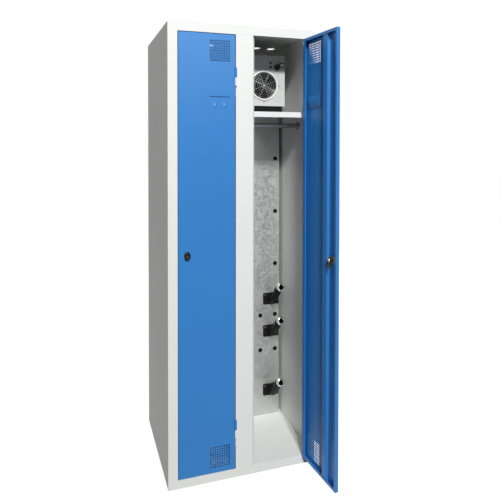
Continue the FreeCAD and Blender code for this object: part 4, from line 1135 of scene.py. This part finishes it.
@dataclass
class FanHeater(Equipment):
    """One fan heater: folded housing, bezel, wire guard, fan, knob, switch and fuse caps."""

    fold_radius: float = 1.5 * MM
    wire: float = 0.6 * MM
    spoke: float = 0.85 * MM
    rings: int = 6
    spokes: int = 8
    hub: float = 4 * MM
    bead: float = 3.2 * MM
    bead_reach: float = 61.5 * MM
    plinth_tall: float = 36 * MM
    plinth_inset: float = 12 * MM
    # Sizes of the black bellows whose black paints the shade under the housing.
    shade_bellows_push: float = 7 * MM
    shade_seal_deep: float = 90 * MM
    shade_bellows_ribs: int = 3
    screen_reach: float = 60 * MM
    screen_ring: float = 6 * MM
    screen_thick: float = 2 * MM
    screw: float = 3.4 * MM
    screw_rise: float = 1.9 * MM
    screw_reach: float = 70 * MM
    tab_thick: float = 1.5 * MM
    knob_back: float = 14 * MM
    knob_step: float = 2 * MM
    shaft: float = 3 * MM
    flutes: int = 24
    flute_depth: float = 0.9 * MM

    def build(self) -> None:
        """Finishes the heater of one compartment."""
        self.fold("folded_heater_housing", "heater_housing", self.fold_radius)
        self.dress("fan_bezel", "fan_frame", "heating_element", "control_fittings", "fan_impeller")
        self.fold("rounded_rocker", "power_rocker", 0.5 * MM)
        self.add_guard()
        self.add_bezel_bead()
        self.add_screws()
        self.add_knob()
        self.add_plinth_shade_bellows()
        self.add_fan_screen()

    def add_guard(self) -> None:
        """Round wires: rings in front of spokes that start at a small dished plate."""
        box = self.box("fan_guard")
        hub = self.hub
        reach = box.size[0] / 2 - self.wire
        spoke_y = -self.spoke
        ring_y = spoke_y - 0.9 * (self.spoke + self.wire)
        parts = []
        for step in range(self.rings):
            radius = hub + (reach - hub) * (step + 1) / self.rings
            wire = oval(radius, ring_y, self.wire, self.wire, 10)
            parts.append(lathe(wire, Axis.Y, sides=72, closed=True))
        ends = np.array([[0, spoke_y, 0.6 * hub], [0, spoke_y, reach]])
        for step in range(self.spokes):
            spoke = capped(tube(ends, self.spoke, (0, 1, 0), 10), 10)
            parts.append(spoke.turned(2 * math.pi * (step + 0.5) / self.spokes, Axis.Y))
        front = ring_y - 0.8 * MM
        plate = rounded_profile([
            (0, 0, 0), (hub, 0, 0), (hub, ring_y, 0.8 * MM), (0.5 * hub, front, 3 * MM), (0, front, 0),
        ])
        parts.append(lathe(plate, Axis.Y, sides=40))
        self.add("wire_guard", joined(parts).moved(box.at(box.high[1])), "fan_guard", instead=True)

    def add_bezel_bead(self) -> None:
        """A bright bead round the mouth, half sunk in the bezel's front."""
        box = self.box("fan_bezel")
        section = oval(self.bead_reach, 0.0, self.bead, 0.8 * self.bead, 16)
        bead = lathe(section, Axis.Y, sides=96, closed=True).moved(box.at(box.low[1] - 0.3 * self.bead))
        self.add("bezel_bead", bead, "fan_bezel", slot="white_plastic")

    def add_fan_screen(self) -> None:
        """Dark dust screen behind the fan, pressed in rings a few millimetres apart."""
        box = self.box("fan_frame")
        reach = np.linspace(0, self.screen_reach, 60)
        front = 0.5 * MM - 0.3 * MM * np.cos(2 * math.pi * reach / self.screen_ring)
        profile = [*zip(reach, front), (self.screen_reach, self.screen_thick), (0, self.screen_thick)]
        screen = lathe(profile, Axis.Y, sides=72).moved(box.at(box.high[1]))
        self.add("fan_screen", screen, "fan_frame")

    def add_plinth_shade_bellows(self) -> None:
        """Ribbed rubber bellows round the plinth, between the housing and the shelf. Their black is painted
        shade, which darkens the gap under the housing.

        Point (i, j) lies at height share s_j and on step i round the plinth's rounded outline, pushed out
        by seal * (0.6 + 0.4 * cos(2 pi ribs s_j)); a straight inner wall closes it.
        """
        housing = self.box("heater_housing")
        low = self.box("shelf").high[2]
        high = low + self.plinth_tall
        half = housing.size[0] / 2 - self.plinth_inset
        front = housing.low[1] + self.plinth_inset
        back = front + self.shade_seal_deep
        outline = np.array([(-half, back), (-half, front), (half, front), (half, back)])
        outward = np.array([(-1, 0), (-1, -1), (1, -1), (1, 0)], float)
        share = np.linspace(0, 1, 10 * self.shade_bellows_ribs + 1)
        push = self.shade_bellows_push * (0.6 + 0.4 * np.cos(2 * math.pi * self.shade_bellows_ribs * share))
        push = np.concatenate([push, np.full(len(share), 0.1 * MM)])
        tall = np.concatenate([low + share * (high - low), high - share * (high - low)])
        plan = outline[:, None, :] + outward[:, None, :] * push[None, :, None]
        points = np.concatenate([plan, np.broadcast_to(tall[None, :, None], (4, len(tall), 1))], axis=2)
        skin = capped(grid(points, close_columns=True), len(tall)).moved((housing.middle[0], 0, 0))
        # The bellows' black rubber is painted shade in the gap between the housing and the shelf.
        self.add("plinth_seal", skin, "heater_housing", slot="black_rubber")

    def add_screws(self) -> None:
        """Pan-head screws with a dimple, on the bezel's four tabs."""
        box = self.box("fan_bezel")
        screw, rise = self.screw, self.screw_rise
        head = lathe(rounded_profile([
            (0, 0, 0), (screw, 0, 0), (screw, -0.5 * rise, 0.6 * MM), (0.6 * screw, -rise, 1 * MM),
            (1.1 * MM, -rise, 0.2 * MM), (0.7 * MM, -0.4 * rise, 0), (0, -0.4 * rise, 0),
        ]), Axis.Y, sides=32).moved(box.at(box.high[1] - self.tab_thick))
        turns = [math.pi / 2 * step for step in range(4)]
        reach = self.screw_reach
        heads = [head.moved((reach * math.sin(turn), 0, reach * math.cos(turn))) for turn in turns]
        self.add("bezel_screws", joined(heads), "fan_bezel", slot="zinc_steel")

    def add_knob(self) -> None:
        """Fluted timer knob with a cap and a white pointer.

        The skirt's radius is radius - flute_depth * cos(flutes * angle / 2) ** 8, which leaves narrow
        grooves between round ribs.
        """
        box = self.box("timer_knob")
        place = box.at(box.low[1])
        radius = box.size[0] / 2
        deep = box.high[1] - box.low[1]
        profile = np.array(rounded_profile([
            (0, deep, 0), (self.shaft, deep, 0), (self.shaft, self.knob_back, 0),
            (radius, self.knob_back, 0.6 * MM), (radius, self.knob_step, 1.4 * MM),
            (0.7 * radius, self.knob_step, 0), (0.66 * radius, 0, 0.8 * MM), (0, 0, 0),
        ]))
        angle = np.linspace(0, 2 * math.pi, 240, endpoint=False)
        groove = self.flute_depth * np.cos(self.flutes * angle / 2) ** 8
        reach = profile[:, :1] - (profile[:, :1] > 0.9 * radius) * groove
        points = np.stack([
            reach * np.sin(angle), np.broadcast_to(profile[:, 1:], reach.shape), reach * np.cos(angle),
        ], axis=-1)
        self.add("fluted_knob", grid(points, close_columns=True).moved(place), "timer_knob", instead=True)
        rim = 0.56 * radius
        cap = lathe(rounded_profile([
            (0, 0.5 * MM, 0), (rim, 0.5 * MM, 0), (rim, -0.4 * MM, 0.3 * MM), (0, -0.4 * MM, 0),
        ]), Axis.Y, sides=48)
        self.add("knob_cap", cap.moved(place), "timer_knob")
        foot, tip = 0.12 * radius, 0.5 * radius
        mark = prism([
            (-0.7 * MM, foot), (0.7 * MM, foot), (0.35 * MM, tip), (-0.35 * MM, tip),
        ], -0.6 * MM, 0.0, Axis.Y)
        self.add("knob_pointer", mark.moved(place), "timer_knob", slot="white_plastic")


# Studio


def seen_directly(tree: Tree, strength: float) -> Socket:
    """The strength for camera, glossy and transmission rays, and 0 for all others."""
    path = add_node(tree, "ShaderNodeLightPath")
    seen = path.outputs["Is Camera Ray"]
    for ray in ("Is Glossy Ray", "Is Transmission Ray"):
        either = add_node(tree, "ShaderNodeMath", {0: seen, 1: path.outputs[ray]}, operation="MAXIMUM")
        seen = either.outputs[0]
    return add_node(tree, "ShaderNodeMath", {0: seen, 1: strength}, operation="MULTIPLY").outputs[0]


@dataclass(frozen=True)
class StudioWhite:
    """Matt white studio floor, a little brighter to the camera than its light, with its shadows kept."""

    name: str = "studio_white"
    colour: str = "#808080"
    lift: float = 0.93

    def make(self) -> bpy.types.Material:
        """A matt floor plus a white lift for camera, glossy and transmission rays."""
        material, tree = new_material(self.name)
        matt = add_node(tree, "ShaderNodeBsdfDiffuse", {"Color": linear(self.colour)})
        glow = add_node(tree, "ShaderNodeEmission", {
            "Color": (1.0, 1.0, 1.0, 1.0), "Strength": seen_directly(tree, self.lift),
        })
        both = add_node(tree, "ShaderNodeAddShader", {0: matt.outputs[0], 1: glow.outputs[0]})
        add_node(tree, "ShaderNodeOutputMaterial", {"Surface": both.outputs[0]})
        return material


@dataclass(frozen=True)
class Lamp:
    """One lamp that faces a point on the cabinet.

    A near square AREA lamp has its power in watts and the edge of its face as size; the SUN, even light from
    far off, has watts per square metre and its width as an angle.
    """

    name: str
    kind: str
    power: float
    size: float
    place: Triple
    aim: Triple
    sheen_only: bool = False

    def build(self) -> None:
        """Makes the lamp and turns it to its point; a sheen lamp only shows in gloss."""
        data = bpy.data.lights.new(self.name, self.kind)
        data.energy = self.power
        if self.kind == "SUN":
            data.angle = self.size
        else:
            data.size = self.size
        lamp = bpy.data.objects.new(self.name, data)
        lamp.location = self.place
        lamp.visible_diffuse = not self.sheen_only
        lamp.visible_camera = False
        ahead = np.asarray(self.aim) - np.asarray(self.place)
        flat = math.hypot(ahead[0], ahead[1])
        lamp.rotation_euler = (math.atan2(flat, -ahead[2]), 0.0, math.atan2(-ahead[0], ahead[1]))
        bpy.context.scene.collection.objects.link(lamp)


@dataclass
class Studio:
    """Camera, lamps, floor and world."""

    camera_place: Triple = (-0.6495, -2.0524, 1.3355)
    camera_yaw: float = math.radians(16.845)
    camera_pitch: float = math.radians(1.05)
    lens: float = 34.64
    shift: Pair = (0.0605, -0.1951)
    ambient: float = 0.07
    lamps: tuple[Lamp, ...] = (
        Lamp("sun", "SUN", 1.58, math.radians(3), (-0.60, -3.4, 3.75), (-0.06, 0.0, 1.6)),
        Lamp("key", "AREA", 106.0, 0.35, (-0.60, -3.4, 3.75), (0.0, 0.0, 1.6)),
        Lamp("sheen", "AREA", 8.0, 0.60, (0.70, -3.2, 2.4), (-0.1, 0.0, 1.5), sheen_only=True),
        Lamp("back", "AREA", 110.0, 1.20, (2.40, 3.0, 1.7), (0.0, 0.0, 0.95)),
    )
    floor_size: float = 40.0

    def build(self) -> None:
        """Sets up the studio round the cabinet."""
        self.add_camera()
        for lamp in self.lamps:
            lamp.build()
        self.add_floor()
        self.add_world()

    def add_camera(self) -> None:
        """The photograph's camera, found by fitting the cabinet's corners."""
        data = bpy.data.cameras.new("camera")
        data.lens = self.lens
        data.sensor_width = 36.0
        data.shift_x, data.shift_y = self.shift
        data.clip_end = 100.0
        camera = bpy.data.objects.new("camera", data)
        camera.location = self.camera_place
        camera.rotation_euler = (math.pi / 2 - self.camera_pitch, 0.0, -self.camera_yaw)
        bpy.context.scene.collection.objects.link(camera)
        bpy.context.scene.camera = camera

    def add_floor(self) -> None:
        """A wide white floor under the cabinet."""
        half = self.floor_size / 2
        mesh = bpy.data.meshes.new("studio_floor")
        corners = [(-half, -half, 0), (half, -half, 0), (half, half, 0), (-half, half, 0)]
        mesh.from_pydata(corners, [], [(0, 1, 2, 3)])
        mesh.materials.append(StudioWhite().make())
        floor = bpy.data.objects.new("studio_floor", mesh)
        bpy.context.scene.collection.objects.link(floor)

    def add_world(self) -> None:
        """White for what the camera sees directly or mirrored, and soft grey light for all else."""
        world = bpy.data.worlds.new("studio_world")
        world.use_nodes = True
        tree = world.node_tree
        tree.nodes.clear()
        strength = add_node(tree, "ShaderNodeMath", {
            0: seen_directly(tree, 1.0), 1: self.ambient,
        }, operation="MAXIMUM")
        light = add_node(tree, "ShaderNodeBackground", {
            "Color": (1.0, 1.0, 1.0, 1.0), "Strength": strength.outputs[0],
        })
        add_node(tree, "ShaderNodeOutputWorld", {"Surface": light.outputs[0]})
        bpy.context.scene.world = world


def main() -> None:
    """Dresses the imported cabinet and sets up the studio."""
    logging.basicConfig(level=logging.INFO, format="%(message)s")
    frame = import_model()
    bench = Bench(frame)
    Carcass(bench).build()
    for side in Side:
        for assembly in (Door, AirDuct, BootArms, FanHeater):
            assembly(bench, side).build()
    Studio().build()
    bpy.context.scene.view_settings.view_transform = "Standard"


if __name__ == "__main__":
    main()
